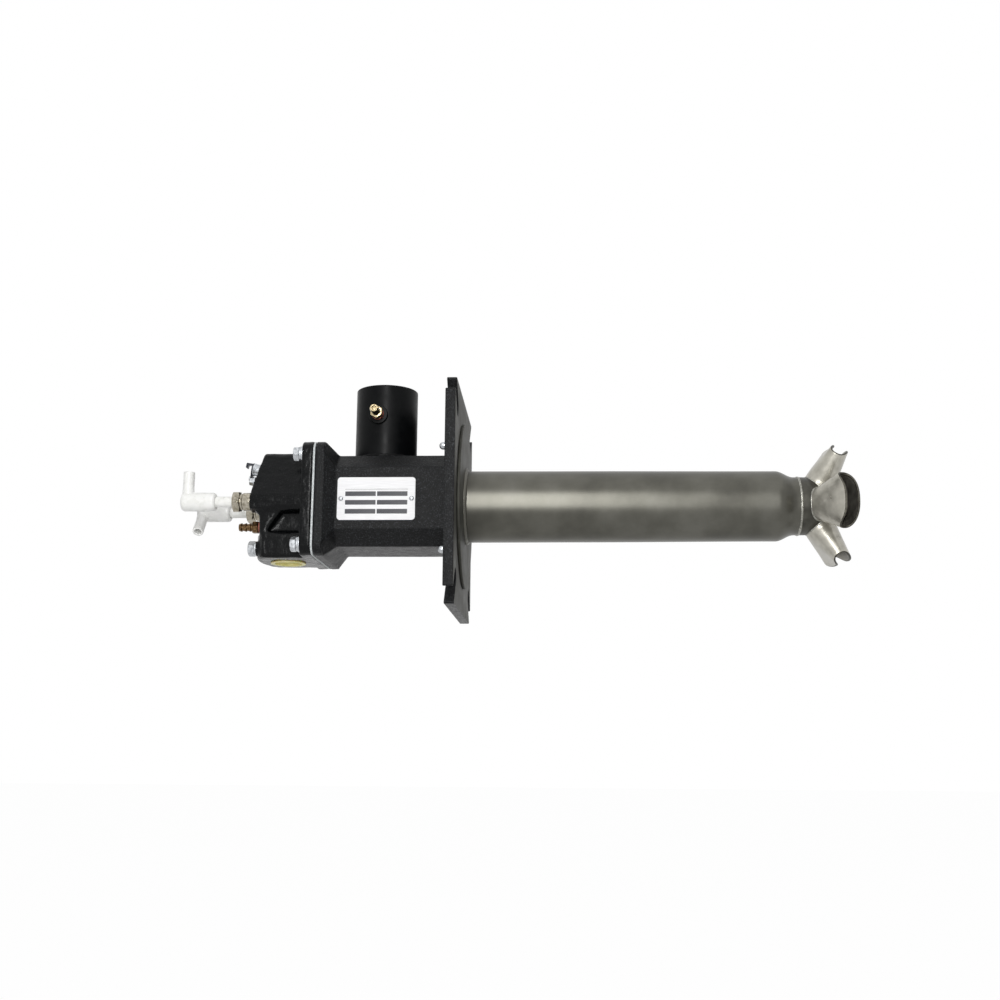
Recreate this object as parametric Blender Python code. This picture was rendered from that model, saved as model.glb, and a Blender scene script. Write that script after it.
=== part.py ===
# Industrial nozzle-mixing gas burner with a long flame tube and a four-way outlet head.
# Frame: X runs along the burner axis towards the outlet head, Z towards the air inlet pipe,
# and the origin is on the axis in the front face of the square furnace flange.

import math

import bmesh
import bpy
from mathutils import Matrix, Vector

MM = 0.001

# Clearances shared by all pieces
FIT = 0.3 * MM
OVERRUN = 2.0 * MM
MERGE = 0.001 * MM
WELD = 0.02 * MM
FLAT_ANGLE = math.radians(0.2)
SHARP_ANGLE = math.radians(35.0)

# Facets round a turned piece, by its size
LARGE_FACETS = 32
MEDIUM_FACETS = 20
SMALL_FACETS = 12
TINY_FACETS = 8
HEX_FACETS = 6
ROD_FACETS = 10
ARC_STEPS = 5
BEAD_STEPS = 3

# Furnace flange: square plate with four bolt slots open to its corners
FLANGE_SIDE = 210.0 * MM
FLANGE_THICKNESS = 9.4 * MM
FLANGE_SLOT_WIDTH = 17.0 * MM
FLANGE_SLOT_PITCH = 158.0 * MM
FLANGE_TIP_RADIUS = 1.6 * MM

# Round disc that carries the flame tube on the flange's front face
DISC_RADIUS = 80.0 * MM
DISC_THICKNESS = 2.6 * MM
DISC_EDGE_CHAMFER = 0.6 * MM
DISC_SCREW_CIRCLE_RADIUS = 70.0 * MM

# Flame tube: barrelled stainless tube that necks down to the head
TUBE_ROOT_RADIUS = 34.8 * MM
TUBE_MIDDLE_RADIUS = 34.6 * MM
TUBE_END_RADIUS = 33.9 * MM
TUBE_WALL = 2.0 * MM
TUBE_MIDDLE_X = 108.0 * MM
TUBE_LENGTH = 322.0 * MM
TUBE_SHOULDER_SETBACK = 21.0 * MM
TUBE_SHOULDER_LENGTH = 17.0 * MM
TUBE_WELD_WIDTH = 6.0 * MM
TUBE_WELD_HEIGHT = 3.8 * MM
TUBE_WELD_MIDDLE_SHARE = 0.4
TUBE_RINGS = 6
SHOULDER_STEPS = 3

# Head: short neck closed by a dome, welded to the tube
NECK_RADIUS = 28.0 * MM
HEAD_WALL = 2.2 * MM
HEAD_NECK_LENGTH = 4.0 * MM
DOME_STEPS = 6
PORT_INSET = 4.2 * MM
HEAD_WELD_WIDTH = 3.2 * MM
HEAD_WELD_HEIGHT = 0.9 * MM

# Four outlets: round at the dome, flattened and flared at the mouth
OUTLET_ANGLE = math.radians(64.0)
OUTLET_TURN = math.radians(4.0)
OUTLET_ORIGIN_OFFSET = 8.7 * MM
OUTLET_WALL = 2.0 * MM
OUTLET_ROOT_DISTANCE = 24.0 * MM
OUTLET_LOBE_LENGTH = 42.0 * MM
OUTLET_REAR_LOBE_LENGTH = 38.6 * MM
OUTLET_LOBE_ROUND_SHARE = 0.85
OUTLET_NOTCH_LENGTH = 30.0 * MM
OUTLET_ROOT_SINK = 14.0 * MM
OUTLET_ROOT_REAR_DEPTH = 12.8 * MM
OUTLET_ROOT_FRONT_DEPTH = 17.0 * MM
OUTLET_ROOT_HALF_WIDTH = 16.5 * MM
OUTLET_MOUTH_REAR_DEPTH = 8.2 * MM
OUTLET_MOUTH_FRONT_DEPTH = 13.0 * MM
OUTLET_MOUTH_HALF_WIDTH = 30.0 * MM
OUTLET_FACETS = 24
OUTLET_RINGS = 3
OUTLET_SQUARENESS = 2.3
OUTLET_NAMES = ("back", "top", "front", "bottom")

# Housing: square body with bevelled edges, flared into its rear flange
HOUSING_WIDTH = 94.0 * MM
HOUSING_HEIGHT = 88.6 * MM
HOUSING_BEVEL = 14.6 * MM
HOUSING_WALL = 5.0 * MM
HOUSING_LENGTH = 127.0 * MM
HOUSING_END_WALL = 6.0 * MM
HOUSING_FLANGE_THICKNESS = 8.4 * MM
HOUSING_FLARE_LENGTH = 11.0 * MM
JOINT_OVERHANG = 8.0 * MM
JOINT_LAND = 18.0 * MM
JOINT_FACE_SIDE = HOUSING_WIDTH + 2 * JOINT_OVERHANG
JOINT_FACE_CORNER_RADIUS = 11.0 * MM
JOINT_BORE_SIDE = JOINT_FACE_SIDE - 2 * JOINT_LAND

# Countersunk screws that hold the housing, hidden under the disc
BODY_SCREW_PITCH = 62.0 * MM
BODY_SCREW_RADIUS = 2.5 * MM
BODY_SCREW_HEAD_RADIUS = 5.0 * MM
BODY_SCREW_HEAD_DEPTH = 2.8 * MM

# Pan head screws that hold the disc from behind
DISC_SCREW_RADIUS = 2.5 * MM
DISC_SCREW_HEAD_RADIUS = 4.6 * MM
DISC_SCREW_HEAD_HEIGHT = 3.4 * MM
PAN_HEAD_CROWN_SHARE = 0.6

# Air inlet pipe, a two inch steel pipe welded on top
AIR_PIPE_OUTER_RADIUS = 30.15 * MM
AIR_PIPE_WALL = 2.9 * MM
AIR_PIPE_X = -77.0 * MM
AIR_PIPE_TOP_Z = 115.8 * MM
AIR_PIPE_WELD = 2.0 * MM
AIR_PIPE_WELD_BULGE_SHARE = 0.8
AIR_PIPE_EDGE = 0.6 * MM

# Name plate and its rivets
PLATE_LENGTH = 74.0 * MM
PLATE_HEIGHT = 41.0 * MM
PLATE_THICKNESS = 0.8 * MM
PLATE_CORNER_RADIUS = 3.2 * MM
PLATE_X = -78.7 * MM
PLATE_Z = -0.8 * MM
RIVET_SPACING = 67.0 * MM
RIVET_SHANK_RADIUS = 1.3 * MM
RIVET_HEAD_RADIUS = 2.3 * MM
RIVET_HEAD_HEIGHT = 1.0 * MM
RIVET_CROWN_HEIGHT_SHARE = 0.75
RIVET_CROWN_RADIUS_SHARE = 0.65

# Gasket between the housing and the rear cover
GASKET_THICKNESS = 1.8 * MM

# Bolts of the cover, M8, on a square pitch
COVER_BOLT_INSET = 11.5 * MM
COVER_BOLT_PITCH = JOINT_FACE_SIDE - 2 * COVER_BOLT_INSET
COVER_BOLT_RADIUS = 4.0 * MM
COVER_BOLT_HEAD_WIDTH = 13.0 * MM
COVER_BOLT_HEAD_HEIGHT = 5.3 * MM
COVER_WASHER_RADIUS = 8.0 * MM
COVER_WASHER_THICKNESS = 1.6 * MM
SPRING_WASHER_RADIUS = 7.2 * MM
SPRING_WASHER_THICKNESS = 2.1 * MM
COVER_BOLT_TIP_INSET = 1.5 * MM
BOLT_CHAMFER_HEIGHT_SHARE = 0.33
BOLT_CHAMFER_ROOT_SHARE = 0.7
BOLT_CHAMFER_TOP_SHARE = 0.43

# Rear cover: cast gas chamber with two electrode bosses and the gas inlet below
COVER_FLANGE_THICKNESS = 10.5 * MM
COVER_BLOCK_DEPTH = 60.0 * MM
COVER_BLOCK_BOLT_GAP = 0.5 * MM
COVER_BLOCK_WIDTH = COVER_BOLT_PITCH - 2 * (COVER_WASHER_RADIUS + COVER_BLOCK_BOLT_GAP)
COVER_BLOCK_TOP_Z = -30.0 * MM
COVER_BLOCK_EDGE = 1.8 * MM
COVER_BLOCK_SIDE_DEPTH = 49.3 * MM
COVER_BLOCK_BEVEL = 4.0 * MM
COVER_BLOCK_ARC_STEPS = 8
COVER_NECK_DEPTH = 54.0 * MM
COVER_NECK_TOP_Z = -14.0 * MM
COVER_BOSS_DEPTH = 62.5 * MM
COVER_BOSS_RADIUS = 10.5 * MM
COVER_CROWN_INSET = 5.0 * MM
COVER_CROWN_Z = JOINT_FACE_SIDE / 2 - COVER_CROWN_INSET
COVER_CROWN_WIDTH = 40.0 * MM
COVER_CROWN_DEPTH = 55.5 * MM
COVER_CROWN_ROUND = 3.0 * MM
COVER_CROWN_FOOT_SHARE = 0.8
COVER_SHOULDER_ANGLE = math.radians(25.0)
COVER_CROWN_EDGE = 3.0 * MM
COVER_WAIST_DEPTH = 61.0 * MM
COVER_WAIST_TOP_Z = -6.0 * MM
COVER_POCKET_DEPTH = 8.0 * MM
COVER_POCKET_TOP_Z = -10.0 * MM
COVER_POCKET_TOP_LENGTH = 22.0 * MM
COVER_POCKET_BOTTOM_LENGTH = 36.0 * MM

# Gas inlet in the bottom of the cover, one inch thread, with its transit plug
INLET_OFFSET_X = 31.0 * MM
INLET_RADIUS = 15.1 * MM
INLET_SPOT_FACE_RADIUS = 18.0 * MM
INLET_SPOT_FACE_DEPTH = 0.5 * MM
PLUG_FLANGE_RADIUS = 17.0 * MM
PLUG_FLANGE_THICKNESS = 1.6 * MM
PLUG_DEPTH = 11.0 * MM
PLUG_WALL = 1.5 * MM

# Gas lance inside, a one inch pipe from the cover to the mixing head
LANCE_RADIUS = 16.85 * MM
LANCE_WALL = 2.6 * MM
LANCE_SOCKET_DEPTH = 14.0 * MM
LANCE_FRONT_X = 98.0 * MM
GAS_CHAMBER_DEPTH = 48.0 * MM

# Mixing head: gas nozzle on the lance and the air disc round it
NOZZLE_SOCKET_WALL = 3.0 * MM
NOZZLE_SOCKET_LENGTH = 12.0 * MM
NOZZLE_TIP_RADIUS = 14.0 * MM
NOZZLE_TIP_LENGTH = 9.0 * MM
NOZZLE_BORE_RADIUS = 10.0 * MM
NOZZLE_FACE_THICKNESS = 3.0 * MM
NOZZLE_HOLE_RADIUS = 1.9 * MM
NOZZLE_HOLE_CIRCLE_RADIUS = 6.5 * MM
NOZZLE_HOLES = 6
AIR_DISC_THICKNESS = 2.0 * MM
AIR_DISC_HOLE_RADIUS = 3.1 * MM
AIR_DISC_HOLE_CIRCLE_RADIUS = 24.5 * MM
AIR_DISC_HOLES_PER_SIDE = 4
AIR_DISC_ROD_HOLE_RADIUS = 2.5 * MM

# Electrodes: gland, ceramic tube and wire rod, one for ignition and one for ionisation
ELECTRODE_Y = 28.5 * MM
ELECTRODE_NAMES = ("ignition", "ionisation")
GLAND_THREAD_RADIUS = 6.6 * MM
GLAND_THREAD_LENGTH = 10.0 * MM
GLAND_COLLAR_RADIUS = 8.7 * MM
GLAND_COLLAR_LENGTH = 10.0 * MM
GLAND_HEX_WIDTH = 19.0 * MM
GLAND_HEX_LENGTH = 7.2 * MM
INSULATOR_RADIUS = 5.2 * MM
INSULATOR_BORE_RADIUS = 1.9 * MM
INSULATOR_REAR_LENGTH = 30.0 * MM
INSULATOR_FRONT_X = -58.0 * MM
ROD_RADIUS = 1.5 * MM
ROD_REAR_LENGTH = 8.0 * MM
IGNITION_ROD_TIP_X = 124.0 * MM
IGNITION_ROD_TIP_Y = 19.0 * MM
IGNITION_ROD_BEND_X = 118.0 * MM
IONISATION_ROD_TIP_X = 165.0 * MM

# Elbow plug caps that push on the electrodes, with a contact sleeve inside
CAP_RADIUS = 9.1 * MM
CAP_RIM_OFFSET = 16.8 * MM
CAP_LENGTH = 34.0 * MM
CAP_END_ROUND = 4.0 * MM
CAP_ROUND_MIDDLE_SHARE = 0.29
CAP_STUB_RADIUS = 5.4 * MM
CAP_STUB_BORE_RADIUS = 3.4 * MM
CAP_STUB_LENGTH = 29.5 * MM
CAP_STUB_INSET = 6.0 * MM
CAP_STUB_ROOT_SHARE = 0.75
CONTACT_RADIUS = 3.4 * MM
CONTACT_LENGTH = 9.0 * MM
CAP_TURNS = (0.0, math.radians(140.0))

# Pressure test nipples, brass, with a closing screw in the barb
NIPPLE_HEX_WIDTH = 11.0 * MM
NIPPLE_HEX_LENGTH = 6.0 * MM
NIPPLE_THREAD_RADIUS = 3.8 * MM
NIPPLE_THREAD_LENGTH = 6.0 * MM
NIPPLE_BARB_RADIUS = 4.3 * MM
NIPPLE_NECK_RADIUS = 3.4 * MM
NIPPLE_BARB_PITCH = 4.4 * MM
NIPPLE_BARBS = 3
NIPPLE_BARB_FOOT_SHARE = 0.25
NIPPLE_BARB_PEAK_SHARE = 0.4
NIPPLE_BORE_RADIUS = 2.2 * MM
NIPPLE_WASHER_RADIUS = 5.9 * MM
NIPPLE_WASHER_THICKNESS = 3.6 * MM
NIPPLE_SCREW_LENGTH = 6.0 * MM
NIPPLE_SCREW_INSET = 0.8 * MM
NIPPLE_SLOT_WIDTH = 0.8 * MM
NIPPLE_SLOT_DEPTH = 1.0 * MM
GAS_NIPPLE_Y = -14.0 * MM
GAS_NIPPLE_Z = -22.4 * MM
GAS_NIPPLE_PASSAGE_RADIUS = 1.8 * MM
AIR_NIPPLE_Z = 85.5 * MM
AIR_NIPPLE_TURN = math.radians(2.0)
AIR_NIPPLE_OFFSET = 3.2 * MM
AIR_PAD_RADIUS = 9.3 * MM
AIR_PAD_ROOT = 3.6 * MM
AIR_PAD_HEIGHT = 2.6 * MM

# Sight glass on the sloping rear face, with its swing flap
SIGHT_Z = 36.0 * MM
SIGHT_SLEEVE_RADIUS = 6.4 * MM
SIGHT_SLEEVE_WALL = 1.6 * MM
SIGHT_SLEEVE_HEIGHT = 11.0 * MM
SIGHT_BORE_RADIUS = 3.6 * MM
SIGHT_GLASS_THICKNESS = 2.0 * MM
SIGHT_GLASS_INSET = 0.8 * MM
FLAP_THICKNESS = 1.0 * MM
FLAP_LIP_HEIGHT = 6.6 * MM
FLAP_LIP_WIDTH = 8.0 * MM
FLAP_LIP_THICKNESS = 1.6 * MM
FLAP_LIP_DROP = 5.0 * MM
FLAP_ROUND_START = math.radians(-20.0)
FLAP_ROUND_SWEEP = math.radians(220.0)
FLAP_PIVOT_DISTANCE = 9.4 * MM
FLAP_EAR_RADIUS = 3.0 * MM
PIVOT_RADIUS = 1.3 * MM
PIVOT_HEAD_RADIUS = 2.3 * MM
PIVOT_HEAD_HEIGHT = 1.2 * MM
PIVOT_SINK = 4.0 * MM

# Earth screw on the sloping face and screw plug in the block's rear face
EARTH_Y = -25.0 * MM
EARTH_Z = 20.0 * MM
EARTH_RADIUS = 2.5 * MM
EARTH_HEAD_WIDTH = 7.0 * MM
EARTH_HEAD_HEIGHT = 3.6 * MM
EARTH_WASHER_RADIUS = 5.0 * MM
EARTH_WASHER_THICKNESS = 1.2 * MM
EARTH_DEPTH = 8.0 * MM
SCREW_PLUG_Y = -24.0 * MM
SCREW_PLUG_Z = -45.0 * MM
SCREW_PLUG_RADIUS = 4.0 * MM
SCREW_PLUG_HEAD_WIDTH = 13.0 * MM
SCREW_PLUG_HEAD_HEIGHT = 6.0 * MM
SCREW_PLUG_WASHER_RADIUS = 7.2 * MM
SCREW_PLUG_WASHER_THICKNESS = 1.6 * MM
SCREW_PLUG_DEPTH = 10.0 * MM
SCREW_PLUG_BOSS_RADIUS = 8.0 * MM
SCREW_PLUG_SEAT_DEPTH = 56.4 * MM

# Planes along the axis that follow from the sizes above
FLANGE_REAR_X = -FLANGE_THICKNESS
HOUSING_FRONT_X = FLANGE_REAR_X - FIT
HOUSING_REAR_X = HOUSING_FRONT_X - HOUSING_LENGTH
GASKET_FRONT_X = HOUSING_REAR_X - FIT
GASKET_REAR_X = GASKET_FRONT_X - GASKET_THICKNESS
COVER_FRONT_X = GASKET_REAR_X - FIT
COVER_FLANGE_REAR_X = COVER_FRONT_X - COVER_FLANGE_THICKNESS
COVER_BLOCK_REAR_X = COVER_FRONT_X - COVER_BLOCK_DEPTH
COVER_NECK_REAR_X = COVER_FRONT_X - COVER_NECK_DEPTH
SCREW_PLUG_SEAT_X = COVER_FRONT_X - SCREW_PLUG_SEAT_DEPTH
COVER_BOSS_REAR_X = COVER_FRONT_X - COVER_BOSS_DEPTH
COVER_CROWN_REAR_X = COVER_FRONT_X - COVER_CROWN_DEPTH
COVER_BOTTOM_Z = -JOINT_FACE_SIDE / 2
INLET_X = COVER_FRONT_X - INLET_OFFSET_X
INLET_SEAT_Z = COVER_BOTTOM_Z + INLET_SPOT_FACE_DEPTH
TUBE_SHOULDER_X = TUBE_LENGTH - TUBE_SHOULDER_SETBACK
HEAD_START_X = TUBE_LENGTH + FIT
OUTLET_ORIGIN_X = HEAD_START_X + OUTLET_ORIGIN_OFFSET
DOME_CENTRE_X = HEAD_START_X + HEAD_NECK_LENGTH
HOUSING_TOP_Z = HOUSING_HEIGHT / 2
HOUSING_SIDE_Y = HOUSING_WIDTH / 2
AXIS = Vector((1.0, 0.0, 0.0))
REARWARD = Vector((-1.0, 0.0, 0.0))
UPWARD = Vector((0.0, 0.0, 1.0))
DOWNWARD = Vector((0.0, 0.0, -1.0))
ORIGIN = Vector((0.0, 0.0, 0.0))
HALF_FACET = Matrix.Rotation(math.pi / MEDIUM_FACETS, 4, AXIS)


# Building helpers

def clear_scene():
    for thing in list(bpy.data.objects):
        bpy.data.objects.remove(thing, do_unlink=True)


def make_material(name, colour, roughness, metallic):
    material = bpy.data.materials.new(name)
    material.use_nodes = True
    shader = material.node_tree.nodes["Principled BSDF"]
    shader.inputs["Base Color"].default_value = (*colour, 1.0)
    shader.inputs["Roughness"].default_value = roughness
    shader.inputs["Metallic"].default_value = metallic
    return material


def add_object(name, shape, material, location=ORIGIN):
    """Turn a bmesh into a named object with its own material, shaded smooth."""
    bmesh.ops.remove_doubles(shape, verts=shape.verts, dist=MERGE)
    bmesh.ops.recalc_face_normals(shape, faces=shape.faces)
    mesh = bpy.data.meshes.new(name)
    shape.to_mesh(mesh)
    shape.free()
    if material is not None:
        mesh.materials.append(material)
    thing = bpy.data.objects.new(name, mesh)
    thing.location = location
    bpy.context.scene.collection.objects.link(thing)
    mesh.shade_smooth()
    mesh.set_sharp_from_angle(angle=SHARP_ANGLE)
    return thing


def lay_along(direction, origin):
    """Matrix that lays the local X axis along a direction from an origin."""
    turn = AXIS.rotation_difference(direction).to_matrix().to_4x4()
    return Matrix.Translation(origin) @ turn


def moved(shape, matrix):
    bmesh.ops.transform(shape, matrix=matrix, verts=shape.verts)
    return shape


def turned(profile, facets):
    """Spin a closed profile of (x, radius) points round the X axis."""
    shape = bmesh.new()
    points = [shape.verts.new((x, 0.0, radius)) for x, radius in profile]
    count = len(points)
    edges = []
    for index in range(count):
        following = (index + 1) % count
        on_axis = profile[index][1] == 0.0 and profile[following][1] == 0.0
        if not on_axis:
            edges.append(shape.edges.new((points[index], points[following])))
    bmesh.ops.spin(shape, geom=edges, cent=ORIGIN, axis=AXIS, angle=2 * math.pi,
                   steps=facets, use_merge=True, use_duplicate=False)
    bmesh.ops.remove_doubles(shape, verts=shape.verts, dist=MERGE)
    bmesh.ops.recalc_face_normals(shape, faces=shape.faces)
    return shape


def rod(radius, start, end, facets):
    """Plain cylinder along X between two planes."""
    return turned([(start, 0.0), (end, 0.0), (end, radius), (start, radius)], facets)


def pipe(outer, inner, start, end, facets):
    """Open tube along X between two planes."""
    return turned([(start, inner), (end, inner), (end, outer), (start, outer)], facets)


def hexagon(width, start, end):
    """Hexagon bar along X, given its width across flats."""
    return rod(width / 2 / math.cos(math.pi / HEX_FACETS), start, end, HEX_FACETS)


def extruded(points, travel):
    """Extrude a flat outline of 3-D points along a vector."""
    shape = bmesh.new()
    face = shape.faces.new([shape.verts.new(point) for point in points])
    pushed = bmesh.ops.extrude_face_region(shape, geom=[face])
    top = [item for item in pushed["geom"] if isinstance(item, bmesh.types.BMVert)]
    bmesh.ops.translate(shape, verts=top, vec=travel)
    bmesh.ops.recalc_face_normals(shape, faces=shape.faces)
    return shape


def prism(outline, start, end):
    """Extrude an outline of (y, z) points along X."""
    return extruded([(start, y, z) for y, z in outline], (end - start, 0.0, 0.0))


def side_prism(outline, half_width):
    """Extrude an outline of (x, z) points along Y, centred on the axis."""
    return extruded([(x, -half_width, z) for x, z in outline], (0.0, 2 * half_width, 0.0))


def loft(rings, closed):
    """Skin between rings of equal point count, capped, or closed into a tube wall."""
    shape = bmesh.new()
    loops = [[shape.verts.new(point) for point in ring] for ring in rings]
    pairs = list(zip(loops, loops[1:]))
    if closed:
        pairs.append((loops[-1], loops[0]))
    for first, second in pairs:
        count = len(first)
        for index in range(count):
            following = (index + 1) % count
            shape.faces.new((first[index], first[following], second[following], second[index]))
    if not closed:
        shape.faces.new(loops[0])
        shape.faces.new(loops[-1])
    bmesh.ops.recalc_face_normals(shape, faces=shape.faces)
    return shape


def combine(target, operation, shapes):
    """Boolean the target with each bmesh in turn, and keep the result as its mesh."""
    for shape in shapes:
        tool = add_object("tool", shape, None)
        tool.display_type = "WIRE"
        tool.hide_render = True
        step = target.modifiers.new("step", "BOOLEAN")
        step.operation = operation
        step.object = tool
        step.solver = "EXACT"
        bpy.context.view_layer.update()
        result = target.evaluated_get(bpy.context.evaluated_depsgraph_get())
        mesh = bpy.data.meshes.new_from_object(result)
        target.modifiers.clear()
        clean(mesh)
        target.data = mesh
        bpy.data.objects.remove(tool, do_unlink=True)
    target.data.shade_smooth()
    target.data.set_sharp_from_angle(angle=SHARP_ANGLE)
    return target


def clean(mesh):
    """Weld the slivers that booleans leave and join their flat faces again."""
    shape = bmesh.new()
    shape.from_mesh(mesh)
    bmesh.ops.remove_doubles(shape, verts=shape.verts, dist=MERGE)
    bmesh.ops.dissolve_limit(shape, angle_limit=FLAT_ANGLE, use_dissolve_boundaries=False,
                             verts=shape.verts, edges=shape.edges)
    bmesh.ops.dissolve_degenerate(shape, dist=WELD, edges=shape.edges)
    shape.to_mesh(mesh)
    shape.free()


def rounded_square(side, radius):
    return rounded_rectangle(side, side, radius)


def rounded_rectangle(length, height, radius):
    """Outline of a rectangle with round corners."""
    points = []
    for corner in range(4):
        middle = math.radians(45.0 + 90.0 * corner)
        centre = (math.copysign(length / 2 - radius, math.cos(middle)),
                  math.copysign(height / 2 - radius, math.sin(middle)))
        points += arc(centre, radius, middle - math.pi / 4, middle + math.pi / 4)
    return points


def arc(centre, radius, start, end, steps=ARC_STEPS):
    """Points on an arc, both ends included."""
    angles = [start + (end - start) * index / steps for index in range(steps + 1)]
    return [(centre[0] + radius * math.cos(a), centre[1] + radius * math.sin(a)) for a in angles]


def bevelled_rectangle(width, height, bevel):
    """Outline of a rectangle with its corners cut at 45 degrees."""
    y, z = width / 2, height / 2
    return [(y, z - bevel), (y - bevel, z), (bevel - y, z), (-y, z - bevel),
            (-y, bevel - z), (bevel - y, -z), (y - bevel, -z), (y, bevel - z)]


def four_corners(pitch):
    """Centres of four holes on a square pitch, as (y, z)."""
    half = pitch / 2
    return [(half, half), (-half, half), (-half, -half), (half, -half)]


def shifted(shape, x=0.0, y=0.0, z=0.0):
    return moved(shape, Matrix.Translation((x, y, z)))


# Furnace side

def slotted_corner():
    """Outline of the flange's first corner, round one open bolt slot."""
    half = FLANGE_SIDE / 2
    slot = FLANGE_SLOT_WIDTH / 2
    slot_end = FLANGE_SLOT_PITCH / 2
    apex = half - slot * math.sqrt(2)
    tip_setback = FLANGE_TIP_RADIUS * math.tan(math.radians(67.5))
    near_centre = (half - FLANGE_TIP_RADIUS, apex - tip_setback)
    far_centre = (near_centre[1], near_centre[0])
    points = arc(near_centre, FLANGE_TIP_RADIUS, 0.0, math.radians(135.0))
    points += reversed(arc((slot_end, slot_end), slot, math.radians(135.0), math.radians(315.0)))
    points += arc(far_centre, FLANGE_TIP_RADIUS, math.radians(-45.0), math.radians(90.0))
    return points


def build_furnace_flange(material):
    outline = []
    for corner in range(4):
        turn = Matrix.Rotation(math.radians(90.0 * corner), 2)
        outline += [tuple(turn @ Vector(point)) for point in slotted_corner()]
    flange = add_object("furnace_flange", prism(outline, FLANGE_REAR_X, 0.0), material)
    cuts = [rod(TUBE_ROOT_RADIUS + FIT, FLANGE_REAR_X - OVERRUN, OVERRUN, LARGE_FACETS)]
    for y, z in disc_screw_places():
        hole = rod(DISC_SCREW_RADIUS + FIT, FLANGE_REAR_X - OVERRUN, OVERRUN, TINY_FACETS)
        cuts.append(shifted(hole, y=y, z=z))
    for y, z in four_corners(BODY_SCREW_PITCH):
        cuts.append(shifted(body_screw_hole(), y=y, z=z))
    return combine(flange, "DIFFERENCE", cuts)


def disc_screw_places():
    return four_corners(DISC_SCREW_CIRCLE_RADIUS * math.sqrt(2))


def build_tube_disc(material):
    inner = TUBE_ROOT_RADIUS + FIT
    front = FIT + DISC_THICKNESS
    profile = [(FIT, inner), (front, inner), (front, DISC_RADIUS - DISC_EDGE_CHAMFER),
               (front - DISC_EDGE_CHAMFER, DISC_RADIUS), (FIT, DISC_RADIUS)]
    disc = add_object("tube_flange_disc", turned(profile, LARGE_FACETS), material)
    cuts = []
    for y, z in disc_screw_places():
        hole = rod(DISC_SCREW_RADIUS + FIT, FIT - OVERRUN, FIT + DISC_THICKNESS / 2, TINY_FACETS)
        cuts.append(shifted(hole, y=y, z=z))
    return combine(disc, "DIFFERENCE", cuts)


def build_disc_screws(material):
    seat = FLANGE_REAR_X - FIT
    head = DISC_SCREW_HEAD_HEIGHT
    profile = [(seat - head, 0.0), (FIT + DISC_THICKNESS / 2 - FIT, 0.0),
               (FIT + DISC_THICKNESS / 2 - FIT, DISC_SCREW_RADIUS), (seat, DISC_SCREW_RADIUS),
               (seat, DISC_SCREW_HEAD_RADIUS), (seat - head / 2, DISC_SCREW_HEAD_RADIUS),
               (seat - head, DISC_SCREW_HEAD_RADIUS * PAN_HEAD_CROWN_SHARE)]
    for number, (y, z) in enumerate(disc_screw_places(), 1):
        add_object(f"disc_screw_{number}", shifted(turned(profile, TINY_FACETS), y=y, z=z),
                   material)


def body_screw_hole():
    """Countersunk hole of a body screw through the furnace flange."""
    shank = BODY_SCREW_RADIUS + FIT
    head = BODY_SCREW_HEAD_RADIUS + FIT
    foot = FLANGE_REAR_X - OVERRUN
    profile = [(foot, 0.0), (OVERRUN, 0.0), (OVERRUN, head), (-FIT, head),
               (-BODY_SCREW_HEAD_DEPTH - 2 * FIT, shank), (foot, shank)]
    return turned(profile, TINY_FACETS)


def build_body_screws(material):
    tip = HOUSING_FRONT_X - HOUSING_END_WALL
    profile = [(tip, 0.0), (-FIT, 0.0), (-FIT, BODY_SCREW_HEAD_RADIUS),
               (-FIT - BODY_SCREW_HEAD_DEPTH, BODY_SCREW_RADIUS), (tip, BODY_SCREW_RADIUS)]
    for number, (y, z) in enumerate(four_corners(BODY_SCREW_PITCH), 1):
        add_object(f"body_screw_{number}", shifted(turned(profile, TINY_FACETS), y=y, z=z),
                   material)


def eased(share):
    """Smooth step from 0 to 1."""
    return share * share * (3.0 - 2.0 * share)


def tube_radius(x):
    """Outer radius of the flame tube at a place along the axis."""
    if x < TUBE_MIDDLE_X:
        share = max(0.0, x / TUBE_MIDDLE_X)
        return TUBE_ROOT_RADIUS + (TUBE_MIDDLE_RADIUS - TUBE_ROOT_RADIUS) * eased(share)
    share = (x - TUBE_MIDDLE_X) / (TUBE_SHOULDER_X - TUBE_MIDDLE_X)
    return TUBE_MIDDLE_RADIUS + (TUBE_END_RADIUS - TUBE_MIDDLE_RADIUS) * eased(min(1.0, share))


def shoulder_points(offset):
    """Points down the shoulder to the neck, moved in by a wall."""
    points = []
    for step in range(1, SHOULDER_STEPS + 1):
        share = step / SHOULDER_STEPS
        x = TUBE_SHOULDER_X + TUBE_SHOULDER_LENGTH * share
        radius = TUBE_END_RADIUS + (NECK_RADIUS - TUBE_END_RADIUS) * eased(share)
        points.append((x, radius - offset))
    return points


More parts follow.
